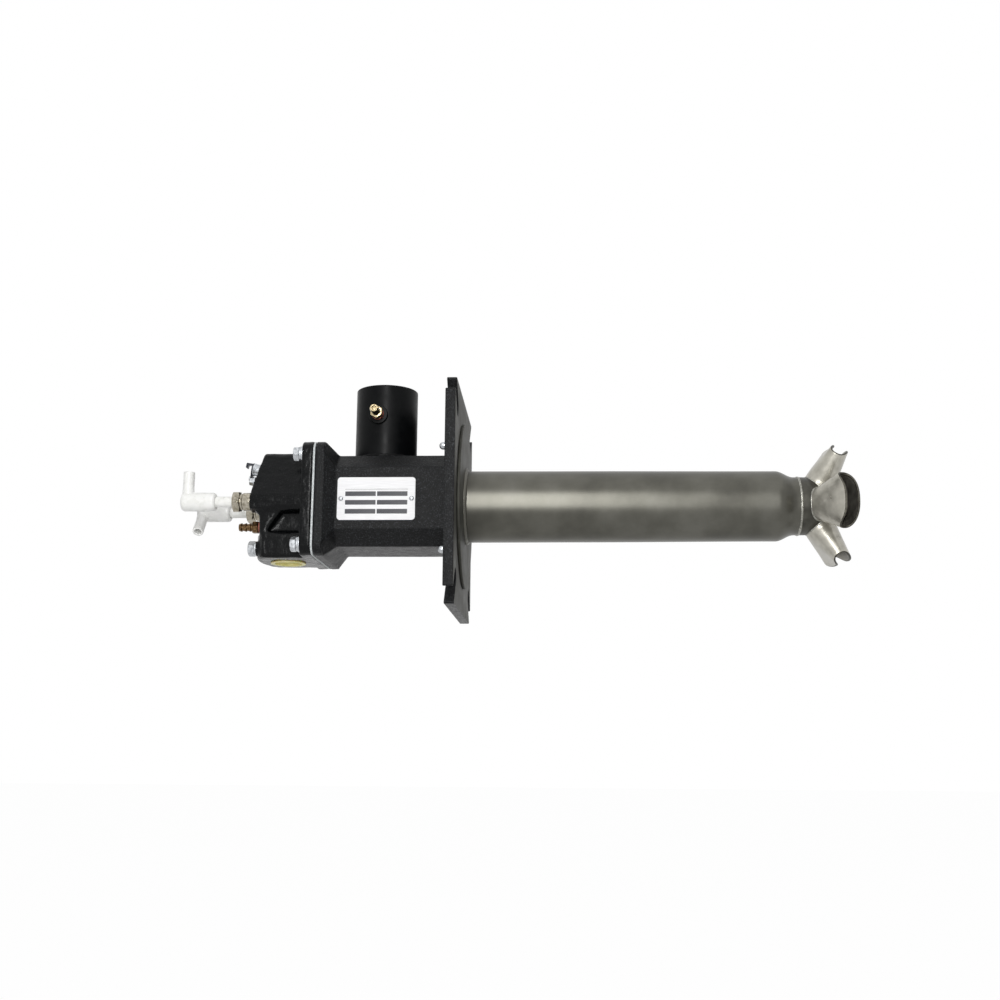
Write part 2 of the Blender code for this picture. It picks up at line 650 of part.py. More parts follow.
def build_flame_tube(material):
    weld_foot = FIT + DISC_THICKNESS + FIT
    stations = [weld_foot + TUBE_WELD_WIDTH
                + (TUBE_SHOULDER_X - weld_foot - TUBE_WELD_WIDTH) * index / TUBE_RINGS
                for index in range(TUBE_RINGS + 1)]
    outer = [(FLANGE_REAR_X, TUBE_ROOT_RADIUS), (weld_foot, TUBE_ROOT_RADIUS),
             (weld_foot, TUBE_ROOT_RADIUS + TUBE_WELD_HEIGHT),
             (weld_foot + TUBE_WELD_WIDTH * TUBE_WELD_MIDDLE_SHARE,
              TUBE_ROOT_RADIUS + TUBE_WELD_HEIGHT * TUBE_WELD_MIDDLE_SHARE)]
    outer += [(x, tube_radius(x)) for x in stations]
    outer += shoulder_points(0.0) + [(TUBE_LENGTH, NECK_RADIUS)]
    inner = [(TUBE_LENGTH, NECK_RADIUS - TUBE_WALL)] + list(reversed(shoulder_points(TUBE_WALL)))
    inner += [(x, tube_radius(x) - TUBE_WALL) for x in reversed(stations)]
    inner += [(FLANGE_REAR_X, TUBE_ROOT_RADIUS - TUBE_WALL)]
    return add_object("flame_tube", turned(outer + inner, LARGE_FACETS), material)


# Outlet head

def dome_profile(radius, start_x):
    """Quarter circle from the neck to the pole."""
    points = [(start_x, radius)]
    points += [(DOME_CENTRE_X + radius * math.sin(math.pi / 2 * step / DOME_STEPS),
                radius * math.cos(math.pi / 2 * step / DOME_STEPS))
               for step in range(DOME_STEPS)]
    return points + [(DOME_CENTRE_X + radius, 0.0)]


def build_nozzle_head(material):
    outer = dome_profile(NECK_RADIUS, HEAD_START_X)
    inner = dome_profile(NECK_RADIUS - HEAD_WALL, HEAD_START_X)
    head = add_object("nozzle_head", turned(outer + inner[::-1], LARGE_FACETS), material)
    ports = []
    for turn in range(len(OUTLET_NAMES)):
        rings = outlet_rings(PORT_INSET)
        port = loft([rings[0][::2], rings[2][::2]], closed=False)
        ports.append(moved(port, quarter_turn(turn)))
    return combine(head, "DIFFERENCE", ports)


def build_head_weld(material):
    middle = TUBE_LENGTH + FIT / 2
    inner = NECK_RADIUS + FIT
    outline = arc((middle, inner), HEAD_WELD_WIDTH / 2, 0.0, math.pi, BEAD_STEPS)
    height = HEAD_WELD_HEIGHT / (HEAD_WELD_WIDTH / 2)
    profile = [(x, inner + (radius - inner) * height) for x, radius in outline]
    return add_object("head_weld_bead", turned(profile, LARGE_FACETS), material)


def quarter_turn(count):
    """Turn about the burner axis that takes the first outlet to another."""
    return Matrix.Rotation(math.radians(90.0 * count) + OUTLET_TURN, 4, AXIS)


def outlet_rings(inset):
    """Rings of one outlet towards +Y, each a squared oval, with the saddle cut at the mouth."""
    along = Vector((math.cos(OUTLET_ANGLE), math.sin(OUTLET_ANGLE), 0.0))
    forward = Vector((math.sin(OUTLET_ANGLE), -math.cos(OUTLET_ANGLE), 0.0))
    start = Vector((OUTLET_ORIGIN_X, 0.0, 0.0)) + along * OUTLET_ROOT_DISTANCE
    rings = []
    for ring in range(OUTLET_RINGS + 1):
        points = []
        for facet in range(OUTLET_FACETS):
            angle = 2 * math.pi * facet / OUTLET_FACETS
            cosine = math.cos(angle)
            lobe = OUTLET_LOBE_LENGTH if cosine > 0.0 else OUTLET_REAR_LOBE_LENGTH
            lobe_share = eased(min(1.0, abs(cosine) / OUTLET_LOBE_ROUND_SHARE))
            reach = OUTLET_NOTCH_LENGTH + (lobe - OUTLET_NOTCH_LENGTH) * lobe_share
            distance = -OUTLET_ROOT_SINK + (reach + OUTLET_ROOT_SINK) * ring / OUTLET_RINGS
            depth, width = outlet_section(angle, distance, inset)
            points.append(start + along * distance + forward * depth + UPWARD * width)
        rings.append(points)
    return rings


def outlet_section(angle, distance, inset):
    """Depth and width of the outlet's outline at an angle round it."""
    share = max(0.0, distance / OUTLET_LOBE_LENGTH)
    rear = OUTLET_ROOT_REAR_DEPTH + (OUTLET_MOUTH_REAR_DEPTH - OUTLET_ROOT_REAR_DEPTH) * share
    front = OUTLET_ROOT_FRONT_DEPTH + (OUTLET_MOUTH_FRONT_DEPTH - OUTLET_ROOT_FRONT_DEPTH) * share
    half = OUTLET_ROOT_HALF_WIDTH + (OUTLET_MOUTH_HALF_WIDTH - OUTLET_ROOT_HALF_WIDTH) * share
    power = 2.0 / OUTLET_SQUARENESS
    cosine = math.copysign(abs(math.cos(angle)) ** power, math.cos(angle))
    sine = math.copysign(abs(math.sin(angle)) ** power, math.sin(angle))
    middle = (front - rear) / 2
    return middle + ((front + rear) / 2 - inset) * cosine, (half - inset) * sine


def build_outlet(name, turn, material):
    outer = outlet_rings(0.0)
    inner = outlet_rings(OUTLET_WALL)
    outlet = add_object(name, loft(outer + inner[::-1], closed=True), material)
    ball_radius = NECK_RADIUS + FIT
    profile = [(DOME_CENTRE_X - ball_radius, 0.0)]
    profile += [(DOME_CENTRE_X - ball_radius * math.cos(math.pi * step / (2 * DOME_STEPS)),
                 ball_radius * math.sin(math.pi * step / (2 * DOME_STEPS)))
                for step in range(1, 2 * DOME_STEPS)]
    profile += [(DOME_CENTRE_X + ball_radius, 0.0)]
    combine(outlet, "DIFFERENCE", [turned(profile, LARGE_FACETS)])
    combine(outlet, "INTERSECT", [outlet_sector()])
    outlet.data.transform(quarter_turn(turn))
    return outlet


def outlet_sector():
    """Quarter of the space round the axis that one outlet may fill, seams left clear."""
    reach = OUTLET_ROOT_DISTANCE + OUTLET_LOBE_LENGTH + OUTLET_MOUTH_HALF_WIDTH
    gap = FIT / math.sqrt(2)
    return prism([(gap, 0.0), (gap + reach, -reach), (gap + reach, reach)],
                 HEAD_START_X - reach, HEAD_START_X + 2 * reach)


# Housing

def build_housing(material):
    body = bevelled_rectangle(HOUSING_WIDTH, HOUSING_HEIGHT, HOUSING_BEVEL)
    flare_side = JOINT_FACE_SIDE - 2 * FIT
    flare = bevelled_rectangle(flare_side, flare_side, JOINT_FACE_CORNER_RADIUS)
    flange_front = HOUSING_REAR_X + HOUSING_FLANGE_THICKNESS
    stations = [(flange_front - HOUSING_FLANGE_THICKNESS / 2, flare), (flange_front, flare),
                (flange_front + HOUSING_FLARE_LENGTH, body), (HOUSING_FRONT_X, body)]
    rings = [[(x, y, z) for y, z in outline] for x, outline in stations]
    housing = add_object("housing_body", loft(rings, closed=False), material)
    face = rounded_square(JOINT_FACE_SIDE, JOINT_FACE_CORNER_RADIUS)
    combine(housing, "UNION", [prism(face, HOUSING_REAR_X, flange_front)])
    inside = bevelled_rectangle(HOUSING_WIDTH - 2 * HOUSING_WALL,
                                HOUSING_HEIGHT - 2 * HOUSING_WALL, HOUSING_BEVEL)
    mouth = bevelled_rectangle(JOINT_BORE_SIDE, JOINT_BORE_SIDE, HOUSING_BEVEL)
    front_wall = HOUSING_FRONT_X - HOUSING_END_WALL
    cuts = [prism(inside, flange_front + HOUSING_FLARE_LENGTH, front_wall),
            prism(mouth, HOUSING_REAR_X - OVERRUN, flange_front + HOUSING_FLARE_LENGTH + OVERRUN),
            rod(TUBE_ROOT_RADIUS + FIT, front_wall - OVERRUN, HOUSING_FRONT_X + OVERRUN,
                LARGE_FACETS)]
    air_hole = rod(AIR_PIPE_OUTER_RADIUS - AIR_PIPE_WALL, HOUSING_TOP_Z - HOUSING_WALL - OVERRUN,
                   HOUSING_TOP_Z + OVERRUN, MEDIUM_FACETS)
    cuts.append(moved(air_hole, lay_along(UPWARD, Vector((AIR_PIPE_X, 0.0, 0.0)))))
    for y, z in four_corners(BODY_SCREW_PITCH):
        hole = rod(BODY_SCREW_RADIUS + FIT, front_wall - OVERRUN, HOUSING_FRONT_X + OVERRUN,
                   TINY_FACETS)
        cuts.append(shifted(hole, y=y, z=z))
    for y, z in four_corners(COVER_BOLT_PITCH):
        hole = rod(COVER_BOLT_RADIUS + FIT, HOUSING_REAR_X - OVERRUN,
                   flange_front + HOUSING_FLARE_LENGTH / 4, TINY_FACETS)
        cuts.append(shifted(hole, y=y, z=z))
    for place in rivet_places():
        hole = rod(RIVET_SHANK_RADIUS + FIT, -OVERRUN, HOUSING_WALL + OVERRUN, TINY_FACETS)
        cuts.append(moved(hole, lay_along(Vector((0.0, 1.0, 0.0)), place)))
    return combine(housing, "DIFFERENCE", cuts)


def build_air_pipe(material):
    foot = HOUSING_TOP_Z + FIT
    outer = AIR_PIPE_OUTER_RADIUS
    inner = outer - AIR_PIPE_WALL
    top = AIR_PIPE_TOP_Z
    bulge = outer + AIR_PIPE_WELD * AIR_PIPE_WELD_BULGE_SHARE
    profile = [(foot, inner), (top, inner), (top, outer - AIR_PIPE_EDGE),
               (top - AIR_PIPE_EDGE, outer), (foot + AIR_PIPE_WELD, outer),
               (foot + AIR_PIPE_WELD / 2, bulge), (foot, outer + AIR_PIPE_WELD)]
    shape = turned(profile, LARGE_FACETS)
    moved(shape, lay_along(UPWARD, Vector((AIR_PIPE_X, 0.0, 0.0))))
    air_pipe = add_object("air_inlet_pipe", shape, material)
    direction, surface = air_nipple_direction()
    pad = rod(AIR_PAD_RADIUS, -AIR_PAD_ROOT, AIR_PAD_HEIGHT, SMALL_FACETS)
    combine(air_pipe, "UNION", [moved(pad, lay_along(direction, surface))])
    hole = rod(NIPPLE_THREAD_RADIUS + FIT, -2 * AIR_PIPE_WALL, AIR_PAD_HEIGHT + OVERRUN,
               SMALL_FACETS)
    return combine(air_pipe, "DIFFERENCE", [moved(hole, lay_along(direction, surface))])


def air_nipple_direction():
    """Direction of the air nipple and the point where its line meets the pipe's wall."""
    direction = Vector((-math.sin(AIR_NIPPLE_TURN), -math.cos(AIR_NIPPLE_TURN), 0.0))
    middle = Vector((AIR_PIPE_X - AIR_NIPPLE_OFFSET, 0.0, AIR_NIPPLE_Z))
    return direction, middle + direction * AIR_PIPE_OUTER_RADIUS


def rivet_places():
    """Points on the housing's near face below the two rivets."""
    return [Vector((PLATE_X + side * RIVET_SPACING / 2, -HOUSING_SIDE_Y, PLATE_Z))
            for side in (-1, 1)]


def build_name_plate(material):
    outline = rounded_rectangle(PLATE_LENGTH, PLATE_HEIGHT, PLATE_CORNER_RADIUS)
    shape = prism(outline, FIT, FIT + PLATE_THICKNESS)
    moved(shape, plate_frame())
    plate = add_object("name_plate", shape, material)
    cuts = []
    for place in rivet_places():
        hole = rod(RIVET_SHANK_RADIUS + FIT, -OVERRUN, PLATE_THICKNESS + OVERRUN, TINY_FACETS)
        cuts.append(moved(hole, lay_along(Vector((0.0, -1.0, 0.0)), place)))
    return combine(plate, "DIFFERENCE", cuts)


def plate_frame():
    """Matrix from the plate's own frame, X out of it and Y along it, to the housing."""
    turn = Matrix(((0.0, 1.0, 0.0), (-1.0, 0.0, 0.0), (0.0, 0.0, 1.0))).to_4x4()
    return Matrix.Translation((PLATE_X, -HOUSING_SIDE_Y, PLATE_Z)) @ turn


def build_rivets(material):
    seat = 2 * FIT + PLATE_THICKNESS
    profile = [(-HOUSING_WALL, 0.0), (seat + RIVET_HEAD_HEIGHT, 0.0),
               (seat + RIVET_HEAD_HEIGHT * RIVET_CROWN_HEIGHT_SHARE,
                RIVET_HEAD_RADIUS * RIVET_CROWN_RADIUS_SHARE),
               (seat, RIVET_HEAD_RADIUS), (seat, RIVET_SHANK_RADIUS),
               (-HOUSING_WALL, RIVET_SHANK_RADIUS)]
    outward = Vector((0.0, -1.0, 0.0))
    for number, place in enumerate(rivet_places(), 1):
        rivet = moved(turned(profile, TINY_FACETS), lay_along(outward, place))
        add_object(f"plate_rivet_{number}", rivet, material)


# Cover joint

def build_gasket(material):
    outline = rounded_square(JOINT_FACE_SIDE - 2 * FIT, JOINT_FACE_CORNER_RADIUS)
    gasket = add_object("cover_gasket", prism(outline, GASKET_REAR_X, GASKET_FRONT_X), material)
    opening = bevelled_rectangle(JOINT_BORE_SIDE, JOINT_BORE_SIDE, HOUSING_BEVEL)
    cuts = [prism(opening, GASKET_REAR_X - OVERRUN, GASKET_FRONT_X + OVERRUN)]
    for y, z in four_corners(COVER_BOLT_PITCH):
        hole = rod(COVER_BOLT_RADIUS + FIT, GASKET_REAR_X - OVERRUN, GASKET_FRONT_X + OVERRUN,
                   TINY_FACETS)
        cuts.append(shifted(hole, y=y, z=z))
    return combine(gasket, "DIFFERENCE", cuts)


def build_cover_bolts(material):
    stack = COVER_WASHER_THICKNESS + SPRING_WASHER_THICKNESS
    seat = COVER_FLANGE_REAR_X - FIT - stack - FIT
    tip = HOUSING_REAR_X + HOUSING_FLANGE_THICKNESS - COVER_BOLT_TIP_INSET
    for number, (y, z) in enumerate(four_corners(COVER_BOLT_PITCH), 1):
        bolt = hex_bolt(COVER_BOLT_HEAD_WIDTH, COVER_BOLT_HEAD_HEIGHT, COVER_BOLT_RADIUS,
                        tip - seat)
        add_object(f"cover_bolt_{number}", shifted(bolt, x=seat, y=y, z=z), material)


def hex_bolt(width, height, radius, shank):
    """Bolt with its seat at X = 0, its head towards -X and its shank towards +X."""
    thing = add_object("bolt", hexagon(width, -height, 0.0), None)
    chamfer = height * BOLT_CHAMFER_HEIGHT_SHARE
    cone = [(-height - FIT, 0.0), (OVERRUN, 0.0), (OVERRUN, width),
            (chamfer - height, width * BOLT_CHAMFER_ROOT_SHARE),
            (-height - FIT, width * BOLT_CHAMFER_TOP_SHARE)]
    combine(thing, "INTERSECT", [turned(cone, SMALL_FACETS)])
    combine(thing, "UNION", [rod(radius, -height / 2, shank, TINY_FACETS)])
    shape = bmesh.new()
    shape.from_mesh(thing.data)
    bpy.data.objects.remove(thing, do_unlink=True)
    return shape


def washer(outer, inner, thickness):
    """Washer with its seat at X = 0, lying towards -X."""
    return pipe(outer, inner, -thickness, 0.0, SMALL_FACETS)


def build_cover_washers(material):
    """Flat washers, each with its spring washer captive on it."""
    seat = COVER_FLANGE_REAR_X - FIT
    bore = COVER_BOLT_RADIUS + FIT
    step = -COVER_WASHER_THICKNESS
    rear = step - SPRING_WASHER_THICKNESS
    profile = [(rear, bore), (0.0, bore), (0.0, COVER_WASHER_RADIUS), (step, COVER_WASHER_RADIUS),
               (step, SPRING_WASHER_RADIUS), (rear, SPRING_WASHER_RADIUS)]
    for number, (y, z) in enumerate(four_corners(COVER_BOLT_PITCH), 1):
        add_object(f"cover_washer_{number}", shifted(turned(profile, SMALL_FACETS), x=seat, y=y, z=z),
                   material)


# Rear cover

def crown_shape():
    """Upper body: a prism with a sloping rear face, trimmed to a trapezium seen from behind."""
    foot = -COVER_BOSS_RADIUS * COVER_CROWN_FOOT_SHARE
    side = [(COVER_FLANGE_REAR_X + OVERRUN, foot), (COVER_BOSS_REAR_X, foot),
            (COVER_BOSS_REAR_X, COVER_BOSS_RADIUS)]
    lean = math.atan2(COVER_CROWN_REAR_X - COVER_BOSS_REAR_X, COVER_CROWN_Z - COVER_BOSS_RADIUS)
    setback = COVER_CROWN_ROUND * math.tan((math.pi / 2 + lean) / 2)
    centre = (COVER_CROWN_REAR_X + setback, COVER_CROWN_Z - COVER_CROWN_ROUND)
    side += arc(centre, COVER_CROWN_ROUND, math.pi - lean, math.pi / 2)
    side.append((COVER_FLANGE_REAR_X + OVERRUN, COVER_CROWN_Z))
    shoulder = ELECTRODE_Y + COVER_BOSS_RADIUS * math.cos(COVER_SHOULDER_ANGLE)
    shoulder_z = COVER_BOSS_RADIUS * math.sin(COVER_SHOULDER_ANGLE)
    crown = COVER_CROWN_WIDTH / 2
    rear = [(shoulder, foot), (shoulder, shoulder_z),
            (crown + COVER_CROWN_EDGE / 2, COVER_CROWN_Z - COVER_CROWN_EDGE),
            (crown - COVER_CROWN_EDGE / 2, COVER_CROWN_Z),
            (COVER_CROWN_EDGE / 2 - crown, COVER_CROWN_Z),
            (-COVER_CROWN_EDGE / 2 - crown, COVER_CROWN_Z - COVER_CROWN_EDGE),
            (-shoulder, shoulder_z), (-shoulder, foot)]
    thing = add_object("crown", side_prism(side, COVER_BLOCK_WIDTH), None)
    combine(thing, "INTERSECT", [prism(rear, COVER_BOSS_REAR_X - OVERRUN,
                                       COVER_FLANGE_REAR_X + OVERRUN / 2)])
    shape = bmesh.new()
    shape.from_mesh(thing.data)
    bpy.data.objects.remove(thing, do_unlink=True)
    return shape


def waist_shape():
    """Neck between the electrode bosses and the inlet block, sloping out under the bosses."""
    front = COVER_FLANGE_REAR_X + OVERRUN
    low = COVER_BLOCK_TOP_Z - COVER_BLOCK_EDGE
    side = [(front, COVER_WAIST_TOP_Z), (COVER_FRONT_X - COVER_WAIST_DEPTH, COVER_WAIST_TOP_Z),
            (COVER_NECK_REAR_X, COVER_NECK_TOP_Z), (COVER_NECK_REAR_X, low), (front, low)]
    return side_prism(side, COVER_BLOCK_WIDTH / 2 - FIT)


def pocket_shape(side):
    """Recess under an electrode boss, on one side of the cover, with a slanted rear end."""
    front = COVER_FLANGE_REAR_X
    outline = [(front, COVER_POCKET_TOP_Z), (front - COVER_POCKET_TOP_LENGTH, COVER_POCKET_TOP_Z),
               (front - COVER_POCKET_BOTTOM_LENGTH, COVER_BLOCK_TOP_Z),
               (front, COVER_BLOCK_TOP_Z)]
    shape = side_prism(outline, COVER_POCKET_DEPTH)
    return shifted(shape, y=side * COVER_BLOCK_WIDTH / 2)


def block_outline(inset):
    """Plan of the inlet block: bevelled corners and a bulging rear face, moved in by an inset."""
    half = COVER_BLOCK_WIDTH / 2 - inset
    front = COVER_FLANGE_REAR_X + OVERRUN
    side_end = COVER_FRONT_X - COVER_BLOCK_SIDE_DEPTH + inset
    corner_y = half - COVER_BLOCK_BEVEL
    corner_x = side_end - COVER_BLOCK_BEVEL
    bulge = corner_x - (COVER_BLOCK_REAR_X + inset)
    radius = (corner_y ** 2 + bulge ** 2) / (2 * bulge)
    reach = math.asin(corner_y / radius)
    points = [(front, half), (side_end, half)]
    for step in range(COVER_BLOCK_ARC_STEPS + 1):
        angle = reach - 2 * reach * step / COVER_BLOCK_ARC_STEPS
        points.append((corner_x - bulge + radius - radius * math.cos(angle),
                       radius * math.sin(angle)))
    return points + [(side_end, -half), (front, -half)]


def block_shape():
    """Inlet block, its lower edge bevelled."""
    levels = [(COVER_BOTTOM_Z, COVER_BLOCK_EDGE), (COVER_BOTTOM_Z + COVER_BLOCK_EDGE, 0.0),
              (COVER_BLOCK_TOP_Z - COVER_BLOCK_EDGE, 0.0), (COVER_BLOCK_TOP_Z, COVER_BLOCK_EDGE)]
    rings = [[(x, y, z) for x, y in block_outline(inset)] for z, inset in levels]
    return loft(rings, closed=False)


def build_rear_cover(material):
    face = rounded_square(JOINT_FACE_SIDE, JOINT_FACE_CORNER_RADIUS)
    cover = add_object("rear_cover", prism(face, COVER_FLANGE_REAR_X, COVER_FRONT_X), material)
    plug_boss = rod(SCREW_PLUG_BOSS_RADIUS, SCREW_PLUG_SEAT_X, COVER_NECK_REAR_X + OVERRUN,
                    SMALL_FACETS)
    bodies = [crown_shape(), waist_shape(), block_shape(),
              shifted(plug_boss, y=SCREW_PLUG_Y, z=SCREW_PLUG_Z)]
    for side in (-1, 1):
        bodies.append(shifted(rod(COVER_BOSS_RADIUS, COVER_BOSS_REAR_X - FIT,
                                  COVER_FLANGE_REAR_X + OVERRUN, SMALL_FACETS),
                              y=side * ELECTRODE_Y))
    combine(cover, "UNION", bodies)
    cuts = [pocket_shape(-1), pocket_shape(1)]
    chamber = COVER_FRONT_X - GAS_CHAMBER_DEPTH
    cuts.append(rod(LANCE_RADIUS + FIT, chamber, COVER_FRONT_X + OVERRUN, MEDIUM_FACETS))
    inlet = rod(INLET_RADIUS, 0.0, OVERRUN - COVER_BOTTOM_Z, MEDIUM_FACETS)
    cuts.append(moved(inlet, lay_along(DOWNWARD, Vector((INLET_X, 0.0, 0.0))) @ HALF_FACET))
    spot_face = rod(INLET_SPOT_FACE_RADIUS, -INLET_SPOT_FACE_DEPTH, OVERRUN, MEDIUM_FACETS)
    inlet_foot = Vector((INLET_X, 0.0, COVER_BOTTOM_Z))
    cuts.append(moved(spot_face, lay_along(DOWNWARD, inlet_foot) @ HALF_FACET))
    for side in (-1, 1):
        bore = rod(GLAND_THREAD_RADIUS + FIT, COVER_BOSS_REAR_X - OVERRUN,
                   COVER_FRONT_X + OVERRUN, SMALL_FACETS)
        cuts.append(shifted(bore, y=side * ELECTRODE_Y))
    for y, z in four_corners(COVER_BOLT_PITCH):
        hole = rod(COVER_BOLT_RADIUS + FIT, COVER_FLANGE_REAR_X - OVERRUN,
                   COVER_FRONT_X + OVERRUN, TINY_FACETS)
        cuts.append(shifted(hole, y=y, z=z))
    cuts += small_cover_holes()
    return combine(cover, "DIFFERENCE", cuts)


def small_cover_holes():
    """Holes of the gas nipple, the screw plug, the earth screw and the sight glass."""
    nipple = rod(NIPPLE_THREAD_RADIUS + FIT, COVER_NECK_REAR_X - OVERRUN,
                 COVER_NECK_REAR_X + NIPPLE_THREAD_LENGTH + OVERRUN, SMALL_FACETS)
    passage = rod(GAS_NIPPLE_PASSAGE_RADIUS, COVER_NECK_REAR_X, INLET_X, TINY_FACETS)
    plug = rod(SCREW_PLUG_RADIUS + FIT, SCREW_PLUG_SEAT_X - OVERRUN,
               SCREW_PLUG_SEAT_X + SCREW_PLUG_DEPTH + FIT, TINY_FACETS)
    spot_face = rod(SCREW_PLUG_BOSS_RADIUS + FIT, COVER_BLOCK_REAR_X - OVERRUN,
                    SCREW_PLUG_SEAT_X, SMALL_FACETS)
    cuts = [shifted(spot_face, y=SCREW_PLUG_Y, z=SCREW_PLUG_Z),
            shifted(nipple, y=GAS_NIPPLE_Y, z=GAS_NIPPLE_Z),
            shifted(passage, y=GAS_NIPPLE_Y, z=GAS_NIPPLE_Z),
            shifted(plug, y=SCREW_PLUG_Y, z=SCREW_PLUG_Z)]
    into = -slope_normal()
    earth = rod(EARTH_RADIUS + FIT, -OVERRUN, EARTH_DEPTH + FIT, TINY_FACETS)
    cuts.append(moved(earth, lay_along(into, slope_point(EARTH_Y, EARTH_Z))))
    sight = rod(SIGHT_BORE_RADIUS, -OVERRUN, 2 * COVER_BOSS_DEPTH, TINY_FACETS)
    cuts.append(moved(sight, lay_along(into, slope_point(0.0, SIGHT_Z))))
    pivot = rod(PIVOT_RADIUS + FIT, -OVERRUN, PIVOT_SINK + FIT, TINY_FACETS)
    cuts.append(moved(pivot, lay_along(into, pivot_point())))
    return cuts


def slope_normal():
    """Direction straight out of the cover's sloping rear face."""
    run = COVER_CROWN_REAR_X - COVER_BOSS_REAR_X
    rise = COVER_CROWN_Z - COVER_BOSS_RADIUS
    return Vector((-rise, 0.0, run)).normalized()


def slope_point(y, z):
    """Point on the cover's sloping rear face."""
    share = (z - COVER_BOSS_RADIUS) / (COVER_CROWN_Z - COVER_BOSS_RADIUS)
    return Vector((COVER_BOSS_REAR_X + (COVER_CROWN_REAR_X - COVER_BOSS_REAR_X) * share, y, z))


def slope_down():
    """Direction down the cover's sloping rear face."""
    return slope_normal().cross(Vector((0.0, 1.0, 0.0)))


def pivot_point():
    """Foot of the flap's pivot on the sloping face, below the sight glass."""
    return slope_point(0.0, SIGHT_Z) + slope_down() * FLAP_PIVOT_DISTANCE


def build_inlet_plug(material):
    """Cup-shaped transit plug, pushed into the gas inlet from below."""
    root = Vector((INLET_X, 0.0, INLET_SEAT_Z))
    outer = INLET_RADIUS - FIT
    floor = FIT + PLUG_FLANGE_THICKNESS
    profile = [(-PLUG_DEPTH, 0.0), (PLUG_WALL - PLUG_DEPTH, 0.0),
               (PLUG_WALL - PLUG_DEPTH, outer - PLUG_WALL), (floor, outer - PLUG_WALL),
               (floor, PLUG_FLANGE_RADIUS), (FIT, PLUG_FLANGE_RADIUS), (FIT, outer),
               (-PLUG_DEPTH, outer)]
    shape = moved(turned(profile, MEDIUM_FACETS), lay_along(DOWNWARD, ORIGIN) @ HALF_FACET)
    return add_object("gas_inlet_plug", shape, material, location=root)


# Gas lance and mixing head

def build_gas_lance(material):
    shape = pipe(LANCE_RADIUS, LANCE_RADIUS - LANCE_WALL, COVER_FRONT_X - LANCE_SOCKET_DEPTH,
                 LANCE_FRONT_X, MEDIUM_FACETS)
    return add_object("gas_lance", shape, material)


def build_gas_nozzle(material):
    start = LANCE_FRONT_X - NOZZLE_SOCKET_LENGTH
    step = LANCE_FRONT_X + FIT
    face = step + NOZZLE_FACE_THICKNESS
    tip = face + NOZZLE_TIP_LENGTH
    outer = LANCE_RADIUS + FIT + NOZZLE_SOCKET_WALL
    profile = [(start, LANCE_RADIUS + FIT), (step, LANCE_RADIUS + FIT), (step, NOZZLE_BORE_RADIUS),
               (tip - NOZZLE_FACE_THICKNESS, NOZZLE_BORE_RADIUS),
               (tip - NOZZLE_FACE_THICKNESS, 0.0), (tip, 0.0), (tip, NOZZLE_TIP_RADIUS),
               (face, NOZZLE_TIP_RADIUS), (face, outer), (start, outer)]
    body = moved(turned(profile, MEDIUM_FACETS), HALF_FACET)
    nozzle = add_object("gas_nozzle", body, material)
    cuts = []
    for index in range(NOZZLE_HOLES):
        angle = 2 * math.pi * index / NOZZLE_HOLES
        hole = rod(NOZZLE_HOLE_RADIUS, tip - NOZZLE_FACE_THICKNESS - OVERRUN, tip + OVERRUN,
                   TINY_FACETS)
        cuts.append(shifted(hole, y=NOZZLE_HOLE_CIRCLE_RADIUS * math.cos(angle),
                            z=NOZZLE_HOLE_CIRCLE_RADIUS * math.sin(angle)))
    return combine(nozzle, "DIFFERENCE", cuts)


def air_disc_front():
    return LANCE_FRONT_X + 2 * FIT + NOZZLE_FACE_THICKNESS + AIR_DISC_THICKNESS


def build_air_disc(material):
    front = air_disc_front()
    rear = front - AIR_DISC_THICKNESS
    outer = tube_radius(rear) - TUBE_WALL - FIT
    ring = pipe(outer, NOZZLE_TIP_RADIUS + FIT, rear, front, MEDIUM_FACETS)
    disc = add_object("air_disc", moved(ring, HALF_FACET), material)
    cuts = []
    for side in (-1, 1):
        rod_hole = rod(AIR_DISC_ROD_HOLE_RADIUS, rear - OVERRUN, front + OVERRUN, TINY_FACETS)
        cuts.append(shifted(rod_hole, y=side * ELECTRODE_Y))
        for index in range(1, AIR_DISC_HOLES_PER_SIDE + 1):
            angle = side * math.pi * index / (AIR_DISC_HOLES_PER_SIDE + 1)
            hole = rod(AIR_DISC_HOLE_RADIUS, rear - OVERRUN, front + OVERRUN, TINY_FACETS)
            cuts.append(shifted(hole, y=AIR_DISC_HOLE_CIRCLE_RADIUS * math.cos(angle),
                                z=AIR_DISC_HOLE_CIRCLE_RADIUS * math.sin(angle)))
    return combine(disc, "DIFFERENCE", cuts)


# Electrodes and their plug caps

def build_electrode(name, side, turn, materials):
    y = side * ELECTRODE_Y
    seat = COVER_BOSS_REAR_X - 2 * FIT
    build_gland(name, y, seat, materials["nickel"])
    hex_rear = seat - GLAND_COLLAR_LENGTH - GLAND_HEX_LENGTH
    insulator_rear = hex_rear - INSULATOR_REAR_LENGTH
    insulator = pipe(INSULATOR_RADIUS, INSULATOR_BORE_RADIUS, insulator_rear, INSULATOR_FRONT_X,
                     SMALL_FACETS)
    add_object(name + "_insulator", shifted(insulator, y=y), materials["ceramic"])
    build_rod(name, y, insulator_rear - ROD_REAR_LENGTH, materials["rod"])
    build_plug_cap(name, y, hex_rear, insulator_rear, turn, materials)


